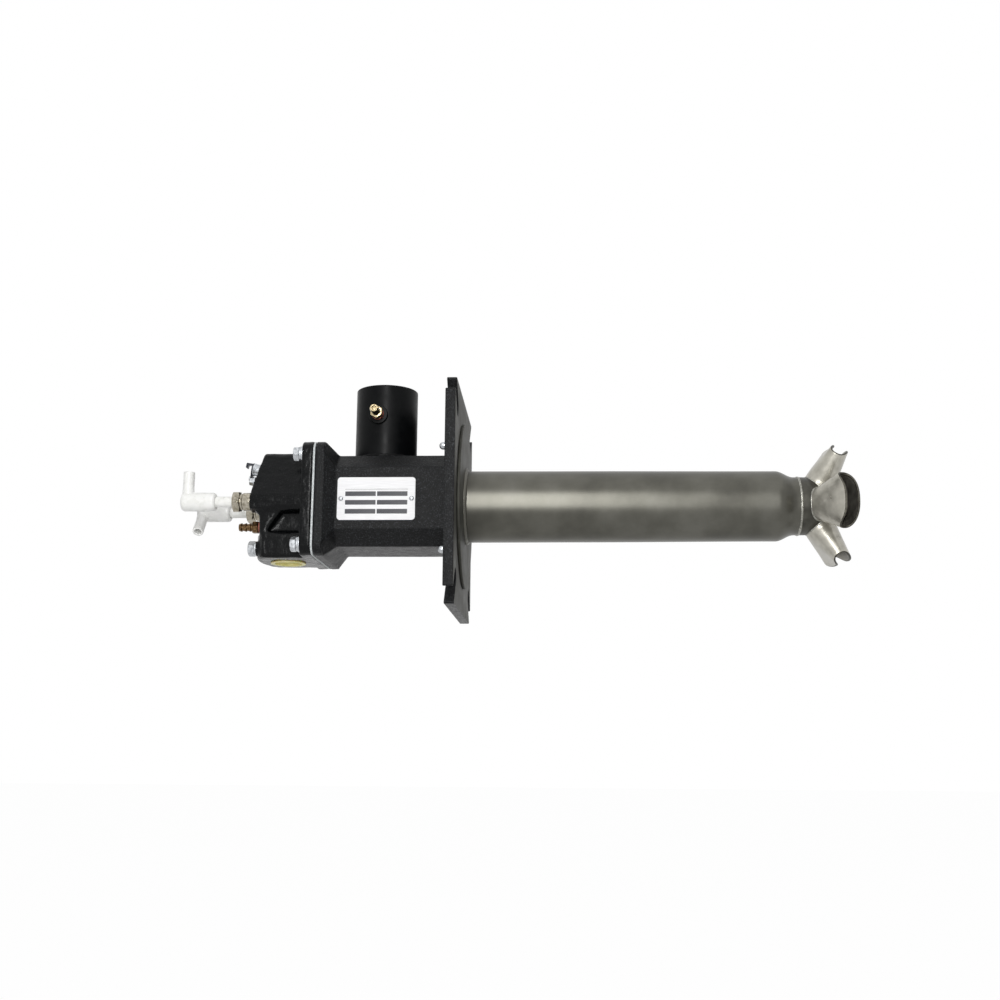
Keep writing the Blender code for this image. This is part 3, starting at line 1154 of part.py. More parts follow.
def build_gland(name, y, seat, material):
    collar = seat - GLAND_COLLAR_LENGTH
    hex_rear = collar - GLAND_HEX_LENGTH
    thread = seat + GLAND_THREAD_LENGTH
    profile = [(hex_rear + GLAND_HEX_LENGTH / 2, 0.0), (thread, 0.0), (thread, GLAND_THREAD_RADIUS),
               (seat, GLAND_THREAD_RADIUS), (seat, GLAND_COLLAR_RADIUS),
               (hex_rear + GLAND_HEX_LENGTH / 2, GLAND_COLLAR_RADIUS)]
    gland = add_object(name + "_gland", shifted(turned(profile, SMALL_FACETS), y=y), material)
    nut = hexagon(GLAND_HEX_WIDTH, hex_rear, collar)
    combine(gland, "UNION", [shifted(nut, y=y)])
    bore = rod(INSULATOR_RADIUS + FIT, hex_rear - OVERRUN, thread + OVERRUN, SMALL_FACETS)
    return combine(gland, "DIFFERENCE", [shifted(bore, y=y)])


def build_rod(name, y, rear, material):
    """Wire electrode; the one for ignition is bent to the gas nozzle, where it makes the spark."""
    end_x, end_y = IONISATION_ROD_TIP_X, y
    bend_x = (rear + end_x) / 2
    if name == "ignition":
        end_x, end_y = IGNITION_ROD_TIP_X, math.copysign(IGNITION_ROD_TIP_Y, y)
        bend_x = IGNITION_ROD_BEND_X
    slant = math.atan2(end_y - y, end_x - bend_x)
    rings = [wire_ring(rear, y, 0.0, 0.0), wire_ring(bend_x, y, slant / 2, slant / 2),
             wire_ring(end_x, end_y, slant, 0.0)]
    return add_object(name + "_rod", loft(rings, closed=False), material)


def wire_ring(x, y, slant, mitre):
    """Ring of wire outline in a plane turned about Z, widened where it makes a mitre."""
    wide = ROD_RADIUS / math.cos(mitre)
    points = []
    for facet in range(ROD_FACETS):
        angle = 2 * math.pi * facet / ROD_FACETS
        across = wide * math.cos(angle)
        points.append((x - across * math.sin(slant), y + across * math.cos(slant),
                       ROD_RADIUS * math.sin(angle)))
    return points


def build_plug_cap(name, y, hex_rear, insulator_rear, turn, materials):
    """Elbow cap that swivels on its contact sleeve; both sit on the electrode's axis."""
    rim = hex_rear - CAP_RIM_OFFSET
    elbow = rim - CAP_LENGTH + CAP_STUB_INSET
    place = Vector((elbow, y, 0.0))
    contact_front = insulator_rear - FIT
    contact = pipe(CONTACT_RADIUS, ROD_RADIUS + FIT, contact_front - CONTACT_LENGTH,
                   contact_front, TINY_FACETS)
    add_object(name + "_contact", shifted(contact, x=-elbow), materials["nickel"], place)
    end = rim - CAP_LENGTH
    mouth = INSULATOR_RADIUS + FIT
    deep = insulator_rear - FIT / 2
    floor = contact_front - CONTACT_LENGTH - FIT
    profile = [(rim, mouth), (rim, CAP_RADIUS), (end + CAP_END_ROUND, CAP_RADIUS),
               (end + CAP_END_ROUND * CAP_ROUND_MIDDLE_SHARE,
                CAP_RADIUS - CAP_END_ROUND * CAP_ROUND_MIDDLE_SHARE),
               (end, CAP_RADIUS - CAP_END_ROUND), (end, 0.0), (floor, 0.0),
               (floor, CONTACT_RADIUS + FIT), (deep, CONTACT_RADIUS + FIT), (deep, mouth)]
    cap = add_object(name + "_cap", shifted(turned(profile, SMALL_FACETS), x=-elbow),
                     materials["cap"], place)
    stub = pipe(CAP_STUB_RADIUS, CAP_STUB_BORE_RADIUS, CAP_RADIUS * CAP_STUB_ROOT_SHARE, CAP_STUB_LENGTH,
                SMALL_FACETS)
    combine(cap, "UNION", [moved(stub, lay_along(UPWARD, place))])
    cap.data.transform(Matrix.Rotation(turn, 4, AXIS))
    return cap


# Pressure test nipples

def barb_profile(start):
    """Barbs from the hexagon to the tip, as (x, radius) points."""
    points = []
    for index in range(NIPPLE_BARBS):
        x = start + NIPPLE_BARB_PITCH * index
        points += [(x + NIPPLE_BARB_PITCH * NIPPLE_BARB_FOOT_SHARE, NIPPLE_NECK_RADIUS),
                   (x + NIPPLE_BARB_PITCH * NIPPLE_BARB_PEAK_SHARE, NIPPLE_BARB_RADIUS),
                   (x + NIPPLE_BARB_PITCH, NIPPLE_NECK_RADIUS)]
    return points


def build_nipple(name, seat, direction, materials):
    """Nipple, sealing washer and closing screw along a direction from their seat."""
    ring = pipe(NIPPLE_WASHER_RADIUS, NIPPLE_THREAD_RADIUS + FIT, FIT,
                FIT + NIPPLE_WASHER_THICKNESS, SMALL_FACETS)
    add_object(name + "_washer", moved(ring, lay_along(direction, seat)), materials["seal"])
    hex_foot = 2 * FIT + NIPPLE_WASHER_THICKNESS
    hex_top = hex_foot + NIPPLE_HEX_LENGTH
    tip = hex_top + NIPPLE_BARB_PITCH * NIPPLE_BARBS
    foot = FIT - NIPPLE_THREAD_LENGTH
    screw_foot = tip - NIPPLE_SCREW_INSET - NIPPLE_SCREW_LENGTH
    profile = [(foot, 0.0), (tip, 0.0)]
    profile += barb_profile(hex_top)[::-1]
    profile += [(hex_top - NIPPLE_HEX_LENGTH / 2, NIPPLE_NECK_RADIUS),
                (hex_top - NIPPLE_HEX_LENGTH / 2, NIPPLE_THREAD_RADIUS),
                (foot, NIPPLE_THREAD_RADIUS)]
    nipple = add_object(name, moved(turned(profile, SMALL_FACETS), lay_along(direction, seat)),
                        materials["brass"])
    nut = hexagon(NIPPLE_HEX_WIDTH, hex_foot, hex_top)
    combine(nipple, "UNION", [moved(nut, lay_along(direction, seat))])
    bore = rod(NIPPLE_BORE_RADIUS, foot - OVERRUN, tip + OVERRUN, TINY_FACETS)
    combine(nipple, "DIFFERENCE", [moved(bore, lay_along(direction, seat))])
    place = seat + direction * screw_foot
    screw = add_object(name + "_screw", moved(rod(NIPPLE_BORE_RADIUS - FIT, 0.0,
                                                  NIPPLE_SCREW_LENGTH, TINY_FACETS),
                                              lay_along(direction, ORIGIN)),
                       materials["brass"], place)
    slot = slot_cutter(direction, place + direction * NIPPLE_SCREW_LENGTH)
    return combine(screw, "DIFFERENCE", [slot])


def slot_cutter(direction, place):
    """Cutter of a screwdriver slot across a small screw's end."""
    shape = bmesh.new()
    bmesh.ops.create_cube(shape, size=1.0)
    size = Matrix.Diagonal((2 * NIPPLE_SLOT_DEPTH, 4 * NIPPLE_BORE_RADIUS, NIPPLE_SLOT_WIDTH, 1.0))
    return moved(shape, lay_along(direction, place) @ size)


# Sight glass, flap, earth screw and screw plug

def build_sight_glass(materials):
    normal = slope_normal()
    seat = slope_point(0.0, SIGHT_Z)
    inner = SIGHT_SLEEVE_RADIUS - SIGHT_SLEEVE_WALL
    ledge = FIT + SIGHT_SLEEVE_HEIGHT - SIGHT_GLASS_INSET - SIGHT_GLASS_THICKNESS - FIT
    top = FIT + SIGHT_SLEEVE_HEIGHT
    profile = [(FIT, SIGHT_BORE_RADIUS), (ledge, SIGHT_BORE_RADIUS), (ledge, inner), (top, inner),
               (top, SIGHT_SLEEVE_RADIUS), (FIT, SIGHT_SLEEVE_RADIUS)]
    sleeve = moved(turned(profile, SMALL_FACETS), lay_along(normal, seat))
    add_object("sight_glass_sleeve", sleeve, materials["zinc"])
    glass = rod(inner - FIT, ledge + FIT, ledge + FIT + SIGHT_GLASS_THICKNESS, SMALL_FACETS)
    add_object("sight_glass", moved(glass, lay_along(normal, seat)), materials["glass"])
    build_flap(materials["dark_zinc"])
    build_flap_pivot(materials["zinc"])


def flap_frame():
    """Matrix of the sloping face at the pivot: X out of the face, Y along it, Z up it."""
    normal = slope_normal()
    up = -slope_down()
    across = up.cross(normal)
    turn = Matrix((normal, across, up)).transposed().to_4x4()
    return Matrix.Translation(pivot_point()) @ turn


def build_flap(material):
    """Round flap over the sight glass with an ear at its pivot and a bent finger lip."""
    rear = 2 * FIT + SIGHT_SLEEVE_HEIGHT
    front = rear + FLAP_THICKNESS
    outline = arc((0.0, 0.0), FLAP_EAR_RADIUS, math.pi, 2 * math.pi, 2 * ARC_STEPS)
    outline += arc((0.0, FLAP_PIVOT_DISTANCE), SIGHT_SLEEVE_RADIUS, FLAP_ROUND_START,
                   FLAP_ROUND_START + FLAP_ROUND_SWEEP, 3 * ARC_STEPS)
    flap = add_object("sight_flap", prism(outline, rear, front), material)
    top = FLAP_PIVOT_DISTANCE + SIGHT_SLEEVE_RADIUS - FLAP_THICKNESS
    reach = front + FLAP_LIP_HEIGHT
    under = top - FLAP_LIP_THICKNESS
    tip = top - FLAP_LIP_DROP
    lip = side_prism([(rear + FLAP_THICKNESS / 2, top), (reach, top), (reach, tip),
                      (reach - FLAP_LIP_THICKNESS, tip), (reach - FLAP_LIP_THICKNESS, under),
                      (rear + FLAP_THICKNESS / 2, under)], FLAP_LIP_WIDTH / 2)
    combine(flap, "UNION", [lip])
    hole = rod(PIVOT_RADIUS + FIT, rear - OVERRUN, front + OVERRUN, TINY_FACETS)
    combine(flap, "DIFFERENCE", [hole])
    frame = flap_frame()
    flap.data.transform(frame.to_3x3().to_4x4())
    flap.location = frame.translation
    return flap


def build_flap_pivot(material):
    """Shouldered pin that stands on the cover and carries the flap under its head."""
    shoulder = FIT + SIGHT_SLEEVE_HEIGHT
    seat = shoulder + FLAP_THICKNESS + 2 * FIT
    profile = [(-PIVOT_SINK, 0.0), (seat + PIVOT_HEAD_HEIGHT, 0.0),
               (seat + PIVOT_HEAD_HEIGHT, PIVOT_HEAD_RADIUS), (seat, PIVOT_HEAD_RADIUS),
               (seat, PIVOT_RADIUS), (shoulder, PIVOT_RADIUS), (shoulder, PIVOT_HEAD_RADIUS),
               (FIT, PIVOT_HEAD_RADIUS), (FIT, PIVOT_RADIUS), (-PIVOT_SINK, PIVOT_RADIUS)]
    pin = moved(turned(profile, TINY_FACETS), lay_along(slope_normal(), pivot_point()))
    return add_object("sight_flap_pivot", pin, material)


def build_face_screw(name, frame, sizes, materials):
    """Hexagon screw and its washer on a face of the cover, in a frame with X into the face."""
    width, height, radius, depth, washer_radius, washer_thickness = sizes
    ring = moved(washer(washer_radius, radius + FIT, washer_thickness),
                 frame @ Matrix.Translation((-FIT, 0.0, 0.0)))
    add_object(name + "_washer", ring, materials["zinc"])
    seat = -2 * FIT - washer_thickness
    screw = moved(hex_bolt(width, height, radius, depth - seat),
                  frame @ Matrix.Translation((seat, 0.0, 0.0)))
    return add_object(name, screw, materials["zinc"])


def build_cover_screws(materials):
    earth = lay_along(-slope_normal(), slope_point(EARTH_Y, EARTH_Z))
    build_face_screw("earth_screw", earth,
                     (EARTH_HEAD_WIDTH, EARTH_HEAD_HEIGHT, EARTH_RADIUS, EARTH_DEPTH,
                      EARTH_WASHER_RADIUS, EARTH_WASHER_THICKNESS), materials)
    plug = lay_along(AXIS, Vector((SCREW_PLUG_SEAT_X, SCREW_PLUG_Y, SCREW_PLUG_Z)))
    build_face_screw("screw_plug", plug,
                     (SCREW_PLUG_HEAD_WIDTH, SCREW_PLUG_HEAD_HEIGHT, SCREW_PLUG_RADIUS,
                      SCREW_PLUG_DEPTH, SCREW_PLUG_WASHER_RADIUS, SCREW_PLUG_WASHER_THICKNESS),
                     materials)


def make_materials():
    return {
        "coat": make_material("black_powder_coat", (0.035, 0.036, 0.038), 0.55, 0.0),
        "pipe": make_material("black_paint", (0.012, 0.012, 0.013), 0.5, 0.0),
        "steel": make_material("bare_steel", (0.32, 0.32, 0.31), 0.45, 1.0),
        "tube": make_material("heat_resistant_steel", (0.24, 0.24, 0.22), 0.4, 1.0),
        "head": make_material("dark_steel", (0.13, 0.13, 0.12), 0.4, 1.0),
        "outlet": make_material("bright_steel", (0.5, 0.48, 0.45), 0.3, 1.0),
        "weld": make_material("weld_metal", (0.6, 0.6, 0.57), 0.3, 1.0),
        "zinc": make_material("zinc_plated_steel", (0.6, 0.61, 0.62), 0.3, 1.0),
        "dark_zinc": make_material("blackened_steel", (0.03, 0.03, 0.035), 0.45, 0.8),
        "nickel": make_material("nickel_plated_brass", (0.62, 0.6, 0.55), 0.22, 1.0),
        "brass": make_material("brass", (0.55, 0.33, 0.12), 0.3, 1.0),
        "seal": make_material("red_seal_washer", (0.25, 0.09, 0.08), 0.5, 0.0),
        "ceramic": make_material("white_ceramic", (0.86, 0.86, 0.84), 0.25, 0.0),
        "cap": make_material("white_plug_cap", (0.84, 0.84, 0.83), 0.4, 0.0),
        "rod": make_material("heating_wire", (0.3, 0.29, 0.28), 0.35, 1.0),
        "gasket": make_material("fibre_gasket", (0.6, 0.62, 0.62), 0.8, 0.0),
        "plug": make_material("yellow_plastic", (0.72, 0.56, 0.12), 0.45, 0.0),
        "plate": make_material("plate_aluminium", (0.82, 0.82, 0.82), 0.35, 0.6),
        "glass": make_material("sight_glass", (0.7, 0.75, 0.75), 0.05, 0.0),
    }


def main():
    clear_scene()
    materials = make_materials()
    build_furnace_flange(materials["coat"])
    build_tube_disc(materials["steel"])
    build_disc_screws(materials["zinc"])
    build_body_screws(materials["zinc"])
    build_flame_tube(materials["tube"])
    build_nozzle_head(materials["head"])
    build_head_weld(materials["weld"])
    for turn, side in enumerate(OUTLET_NAMES):
        build_outlet("nozzle_outlet_" + side, turn, materials["outlet"])
    build_housing(materials["coat"])
    build_air_pipe(materials["pipe"])
    build_name_plate(materials["plate"])
    build_rivets(materials["zinc"])
    build_gasket(materials["gasket"])
    build_rear_cover(materials["coat"])
    build_cover_washers(materials["zinc"])
    build_cover_bolts(materials["zinc"])
    build_inlet_plug(materials["plug"])
    build_gas_lance(materials["steel"])
    build_gas_nozzle(materials["steel"])
    build_air_disc(materials["steel"])
    for name, side, turn in zip(ELECTRODE_NAMES, (-1, 1), CAP_TURNS):
        build_electrode(name, side, turn, materials)
    gas_seat = Vector((COVER_NECK_REAR_X, GAS_NIPPLE_Y, GAS_NIPPLE_Z))
    build_nipple("gas_test_nipple", gas_seat, REARWARD, materials)
    direction, surface = air_nipple_direction()
    build_nipple("air_test_nipple", surface + direction * AIR_PAD_HEIGHT, direction, materials)
    build_sight_glass(materials)
    build_cover_screws(materials)


main()
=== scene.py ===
# %% [markdown]
# # An industrial gas burner
# This burner heats a furnace. Air comes in by the pipe on top, gas by the thread under the
# rear cover, and the flame leaves through four flattened outlets at the far end of a long
# steel tube. The solids come from CAD, at their real size. This lesson keeps their places and
# gives each piece the roundness, the welds and the finish that the solids leave out.
# Sizes here are real millimetres, and only the last step of each mesh turns them to metres.

# %% Load the frame
import math

import bmesh
import bpy
from mathutils import Matrix, Vector, noise


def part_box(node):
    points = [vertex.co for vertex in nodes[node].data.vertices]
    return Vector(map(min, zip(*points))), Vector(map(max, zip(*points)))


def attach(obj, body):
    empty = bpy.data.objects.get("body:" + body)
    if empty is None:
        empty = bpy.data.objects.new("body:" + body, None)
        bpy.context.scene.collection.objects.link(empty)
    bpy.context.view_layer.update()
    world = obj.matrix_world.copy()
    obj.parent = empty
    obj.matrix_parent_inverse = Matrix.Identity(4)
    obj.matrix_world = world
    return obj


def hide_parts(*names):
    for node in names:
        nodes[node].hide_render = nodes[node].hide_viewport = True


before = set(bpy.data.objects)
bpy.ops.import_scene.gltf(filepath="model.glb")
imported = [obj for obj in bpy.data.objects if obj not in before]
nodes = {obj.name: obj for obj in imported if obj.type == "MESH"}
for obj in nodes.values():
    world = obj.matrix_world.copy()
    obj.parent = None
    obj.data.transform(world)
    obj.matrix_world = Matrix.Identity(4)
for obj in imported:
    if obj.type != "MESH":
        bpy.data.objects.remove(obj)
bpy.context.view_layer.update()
MM = 0.001
BURNER = "burner"

# %% [markdown]
# ## Camera
# The photograph was taken from a little below the burner, with a normal lens. The camera was
# fitted once to edges that can be seen in it. What was found is kept here: the point it looks
# at and its distance in millimetres, its angles, and its focal length in the photo's pixels.

# %% Place the camera
CAMERA_AIM = Vector((35.7, 0.0, 6.958))
CAMERA_DISTANCE = 1241.448
CAMERA_ELEVATION = math.radians(-11.262)
CAMERA_AZIMUTH = math.radians(2.939)
CAMERA_ROLL = math.radians(0.424)
FOCAL_LENGTH_PIXELS = 1272.489
PHOTO_WIDTH_PIXELS = 1000.0
SENSOR_WIDTH = 36.0
FARTHEST_SEEN = 50.0


def camera_pose():
    """Matrix of a camera that looks from the fitted side at the fitted point."""
    outward = Vector((math.sin(CAMERA_AZIMUTH) * math.cos(CAMERA_ELEVATION),
                      -math.cos(CAMERA_AZIMUTH) * math.cos(CAMERA_ELEVATION),
                      math.sin(CAMERA_ELEVATION)))
    level = (-outward).cross(Vector((0.0, 0.0, 1.0))).normalized()
    upright = level.cross(-outward)
    across = level * math.cos(CAMERA_ROLL) + upright * math.sin(CAMERA_ROLL)
    up = upright * math.cos(CAMERA_ROLL) - level * math.sin(CAMERA_ROLL)
    pose = Matrix((across, up, outward)).transposed().to_4x4()
    pose.translation = (CAMERA_AIM + outward * CAMERA_DISTANCE) * MM
    return pose


lens = bpy.data.cameras.new("photo_camera")
lens.sensor_width = SENSOR_WIDTH
lens.lens = FOCAL_LENGTH_PIXELS / PHOTO_WIDTH_PIXELS * SENSOR_WIDTH
lens.clip_end = FARTHEST_SEEN
camera = bpy.data.objects.new("photo_camera", lens)
camera.matrix_world = camera_pose()
bpy.context.scene.collection.objects.link(camera)
bpy.context.scene.camera = camera
print("lens of", round(lens.lens, 1), "mm")

# %% [markdown]
# ## Colours and shader nodes
# Colours are picked as sRGB hex values, as on a screen, and Blender wants them linear. One
# function does that, and one adds a shader node with its settings and its links.

# %% Helpers for materials
def linear(hex_colour):
    """Linear red, green, blue and alpha of an sRGB hex colour."""
    parts = [int(hex_colour[place:place + 2], 16) / 255 for place in (1, 3, 5)]
    curve = [part / 12.92 if part <= 0.04045 else ((part + 0.055) / 1.055) ** 2.4
             for part in parts]
    return (*curve, 1.0)


def add_node(material, kind, settings, links=None):
    """Add a node. A setting or link is named by its input, by the input's number or by property."""
    node = material.node_tree.nodes.new(kind)
    for name, value in settings.items():
        if isinstance(name, int) or name in node.inputs:
            node.inputs[name].default_value = value
        else:
            setattr(node, name, value)
    for name, source in (links or {}).items():
        material.node_tree.links.new(source, node.inputs[name])
    return node


def new_material(name, colour, metallic, roughness, **sockets):
    """Material with one Principled shader, its plain values set on the shader's own sockets."""
    material = bpy.data.materials.new(name)
    material.use_nodes = True
    shader = material.node_tree.nodes["Principled BSDF"]
    shader.inputs["Base Color"].default_value = linear(colour)
    shader.inputs["Metallic"].default_value = metallic
    shader.inputs["Roughness"].default_value = roughness
    for socket, value in sockets.items():
        shader.inputs[socket.replace("_", " ")].default_value = value
    return material, shader


# %% [markdown]
# No real surface is even. A pattern moves the colour, the roughness and the height of each
# material a little, by amounts that stand for real ones.

# %% Patterns on a material
def pattern(material, size, detail=3.0, stretch=(1.0, 1.0, 1.0)):
    """Noise in the burner's own frame, with features of a real size in millimetres."""
    place = add_node(material, "ShaderNodeTexCoord", {})
    scaled = add_node(material, "ShaderNodeMapping", {"Scale": stretch},
                      {"Vector": place.outputs["Object"]})
    return add_node(material, "ShaderNodeTexNoise",
                    {"Scale": 1.0 / (size * MM), "Detail": detail},
                    {"Vector": scaled.outputs["Vector"]})


def tint(material, shader, texture, stops):
    """Colour the base by a texture's value, between hex colours at the given stops."""
    ramp = add_node(material, "ShaderNodeValToRGB", {}, {"Fac": texture.outputs["Fac"]})
    points = ramp.color_ramp.elements
    while len(points) < len(stops):
        points.new(0.5)
    for point, (position, colour) in zip(points, stops):
        point.position = position
        point.color = linear(colour)
    material.node_tree.links.new(ramp.outputs["Color"], shader.inputs["Base Color"])


def roughen(material, shader, texture, low, high):
    """Let a texture's value move the roughness between two levels."""
    spread = add_node(material, "ShaderNodeMapRange",
                      {"From Min": 0.3, "From Max": 0.7, "To Min": low, "To Max": high},
                      {"Value": texture.outputs["Fac"]})
    material.node_tree.links.new(spread.outputs["Result"], shader.inputs["Roughness"])


def emboss(material, shader, textures):
    """Stack bumps: each texture with the real depth in millimetres that it stands for."""
    below = {}
    for texture, depth in textures:
        bump = add_node(material, "ShaderNodeBump", {"Strength": 1.0, "Distance": depth * MM},
                        {"Height": texture.outputs["Fac"], **below})
        below = {"Normal": bump.outputs["Normal"]}
    material.node_tree.links.new(bump.outputs["Normal"], shader.inputs["Normal"])


def finish(name, base, size, stops, rough, depth, detail=4.0, stretch=(1.0, 1.0, 1.0),
           **sockets):
    """Material in which one pattern moves the colour, the roughness and the height.

    The base is a hex colour, how metallic it is and its roughness. The pattern's size and its
    depth are millimetres.
    """
    material, shader = new_material(name, *base, **sockets)
    texture = pattern(material, size, detail, stretch)
    if stops:
        tint(material, shader, texture, stops)
    roughen(material, shader, texture, *rough)
    emboss(material, shader, [(texture, depth)])
    return material


# %% [markdown]
# ## Powder coat
# The housing, the rear cover and the furnace flange have a black powder coat. Powder is
# sprayed on and baked, so it levels less than paint and keeps a fine leathery grain, about
# 1 mm from hill to hill. The eye sees it as a grey veil of tiny glints on the sides that face
# the light, and as deep black on those that don't. Two bumps make it: the grain and a longer
# sag. The highest grains are painted paler, as painted glints where the grain catches light.

# %% Powder coat
COAT_GRAIN = 0.95
COAT_SAG = 7.0
coat, shader = new_material("black_powder_coat", "#090a0b", 0.0, 0.4, Specular_IOR_Level=0.16)
grain = pattern(coat, COAT_GRAIN, detail=2.0)
sag = pattern(coat, COAT_SAG, detail=2.0)
# Painted glints: the highest tops of the grain are painted paler.
tint(coat, shader, grain, [(0.3, "#050607"), (0.56, "#08090a"), (0.7, "#36383b")])
roughen(coat, shader, sag, 0.34, 0.46)
emboss(coat, shader, [(sag, 0.15), (grain, 0.55)])

# %% [markdown]
# The rear cover got a thicker coat that ran a little before it set, so it is glossier and
# wavier than the housing: long runs, and fine pores between them. The highest points of the
# pores are painted paler, as painted glints.

# %% Thick powder coat of the cover
thick_coat, shader = new_material("thick_black_powder_coat", "#060708", 0.0, 0.24,
                                  Specular_IOR_Level=0.14)
run = pattern(thick_coat, 6.0, detail=2.0)
pore = pattern(thick_coat, 1.3, detail=2.0)
# Painted glints: the highest points of the pore pattern are painted paler.
tint(thick_coat, shader, pore, [(0.3, "#040506"), (0.6, "#08090a"), (0.74, "#1c1d1f")])
roughen(thick_coat, shader, run, 0.18, 0.32)
emboss(thick_coat, shader, [(run, 0.5), (pore, 0.07)])

# %% [markdown]
# ## Black paint
# The air pipe is a piece of steel pipe with brushed black enamel, smoother than the powder
# coat, with a softer and wider shine.

# %% Black paint
paint, shader = new_material("black_enamel_paint", "#050506", 0.0, 0.32, Specular_IOR_Level=0.09)
drift = pattern(paint, 9.0, detail=4.0)
fleck = pattern(paint, 1.2, detail=2.0)
tint(paint, shader, drift, [(0.3, "#040506"), (0.7, "#0a0b0c")])
roughen(paint, shader, drift, 0.3, 0.42)
emboss(paint, shader, [(drift, 0.1), (fleck, 0.03)])

# %% [markdown]
# ## Heat resistant steel
# The flame tube is spun from heat resistant chromium steel and left as it came off the
# machine: satin, grey with an olive cast. Spinning leaves faint rings round it, and handling
# leaves cloudy patches. The rings are drawn 2.2 mm apart, coarser than the real ones, so
# that they show at all.

# %% Steel of the flame tube
RING_SPACING = 2.2
tube_steel, shader = new_material("spun_chromium_steel", "#5b5a54", 1.0, 0.36)
cloud = pattern(tube_steel, 34.0, detail=5.0)
rings = pattern(tube_steel, RING_SPACING, detail=2.0, stretch=(1.0, 0.06, 0.06))
tint(tube_steel, shader, cloud, [(0.28, "#4b4a45"), (0.5, "#575650"), (0.74, "#63625c")])
roughen(tube_steel, shader, cloud, 0.32, 0.38)
emboss(tube_steel, shader, [(cloud, 0.08), (rings, 0.01)])

# %% [markdown]
# The dome of the head is the same steel, painted darker: partly scale from the weld heat,
# partly painted shade, as the head lies in shade between the outlets.

# %% Steel of the head
# Darker base and tints: weld scale together with painted shade.
head_steel = finish("scaled_and_shaded_chromium_steel", ("#3e3d39", 1.0, 0.4), 12.0,
                    [(0.3, "#3b3a36"), (0.7, "#56554f")], (0.36, 0.5), 0.12, detail=5.0)

# %% [markdown]
# ## Pressed stainless steel
# The four outlets are pressed from pickled stainless sheet, so they are paler and smoother
# than the tube, with a warm cast and soft scuffs from the press. The thin oxide that pickling
# leaves scatters light, so the shader is only part metallic.

# %% Steel of the outlets
outlet_steel, shader = new_material("pickled_stainless_steel", "#b0ada4", 0.65, 0.42)
haze = pattern(outlet_steel, 9.0, detail=5.0)
scuff = pattern(outlet_steel, 1.4, detail=3.0, stretch=(1.0, 0.3, 1.0))
tint(outlet_steel, shader, haze, [(0.3, "#9c998f"), (0.55, "#b0ada3"), (0.75, "#bfbcb2")])
roughen(outlet_steel, shader, haze, 0.27, 0.38)
emboss(outlet_steel, shader, [(haze, 0.06), (scuff, 0.012)])

# %% [markdown]
# Inside, and on the lip that the flame licks, the same sheet has burnt to a brown grey.

# %% Burnt steel of the lips and the insides
lip_steel = finish("burnt_stainless_lip", ("#55534d", 1.0, 0.42), 3.0,
                   [(0.3, "#35332f"), (0.7, "#56544c")], (0.36, 0.52), 0.04)
inner_steel = finish("burnt_stainless_inside", ("#96938b", 1.0, 0.5), 8.0,
                     [(0.3, "#85827a"), (0.7, "#a5a299")], (0.45, 0.6), 0.05)

# %% [markdown]
# ## Weld metal
# A weld made under shielding gas stays bright. Its fine ripples are about 1.5 mm apart.

# %% Weld metal
weld_metal = finish("bright_weld_metal", ("#8e8d86", 1.0, 0.3), 1.5,
                    [(0.3, "#6c6b65"), (0.6, "#a3a29b")], (0.24, 0.4), 0.08, detail=2.0)

# %% [markdown]
# ## Bare rolled steel
# The disc that carries the tube, and the pipes inside, are hot rolled steel: a mid grey with
# mill marks one way and small stains.

# %% Rolled steel
rolled_steel, shader = new_material("hot_rolled_steel", "#52524d", 0.4, 0.55,
                                   Specular_IOR_Level=0.15)
stain = pattern(rolled_steel, 16.0, detail=6.0)
mill = pattern(rolled_steel, 1.6, detail=3.0, stretch=(1.0, 1.0, 0.12))
tint(rolled_steel, shader, stain, [(0.3, "#32322e"), (0.52, "#3e3e39"), (0.72, "#4b4b45")])
roughen(rolled_steel, shader, stain, 0.48, 0.64)
emboss(rolled_steel, shader, [(stain, 0.05), (mill, 0.02)])

# %% [markdown]
# ## Zinc, nickel and brass
# Bolts and washers are zinc plated: bright, bluish, a little clouded. The electrode glands
# are nickel plated brass, the shiniest pieces here. The test nipples are turned from brass
# bar, and the one on the gas side has darkened to bronze.

# %% Plated and turned metals
zinc = finish("zinc_plated_steel", ("#b4b7ba", 1.0, 0.26), 2.6,
              [(0.3, "#96999c"), (0.6, "#bfc2c5")], (0.22, 0.38), 0.02)
nickel = finish("nickel_plated_brass", ("#9c9589", 1.0, 0.16), 3.0,
                [(0.3, "#7f7969"), (0.65, "#aca699")], (0.12, 0.24), 0.012, detail=3.0)
brass = finish("turned_brass", ("#c4b48b", 1.0, 0.22), 0.9,
               [(0.3, "#a5906a"), (0.65, "#d4c6a2")], (0.18, 0.3), 0.015, detail=2.0)
bronze = finish("darkened_brass", ("#735a3e", 1.0, 0.24), 1.8,
                [(0.3, "#453320"), (0.6, "#776045"), (0.8, "#b5996c")], (0.24, 0.42), 0.02)
print("materials so far:", len(bpy.data.materials))

# %% [markdown]
# The flap is spring steel, blackened in oil. The electrodes' wires are a heating alloy that
# has grown its grey oxide.

# %% Blackened steel and heating wire
blackened = finish("blackened_spring_steel", ("#34363b", 1.0, 0.38), 2.4,
                   [(0.3, "#26282c"), (0.7, "#474a50")], (0.3, 0.46), 0.02)
wire = finish("oxidised_heating_wire", ("#6b6966", 1.0, 0.4), 4.0,
              [(0.3, "#4f4d4b"), (0.7, "#7c7a77")], (0.34, 0.5), 0.01)

# %% [markdown]
# ## Ceramic, plastics and fibre
# The electrodes are sintered alumina, white with a faint sheen. Their plug caps are moulded
# in a smooth white ceramic. The transit plug is soft yellow polythene, in which light spreads
# a little. The gasket is pressed fibre, with short fibres that can be seen on its edge.

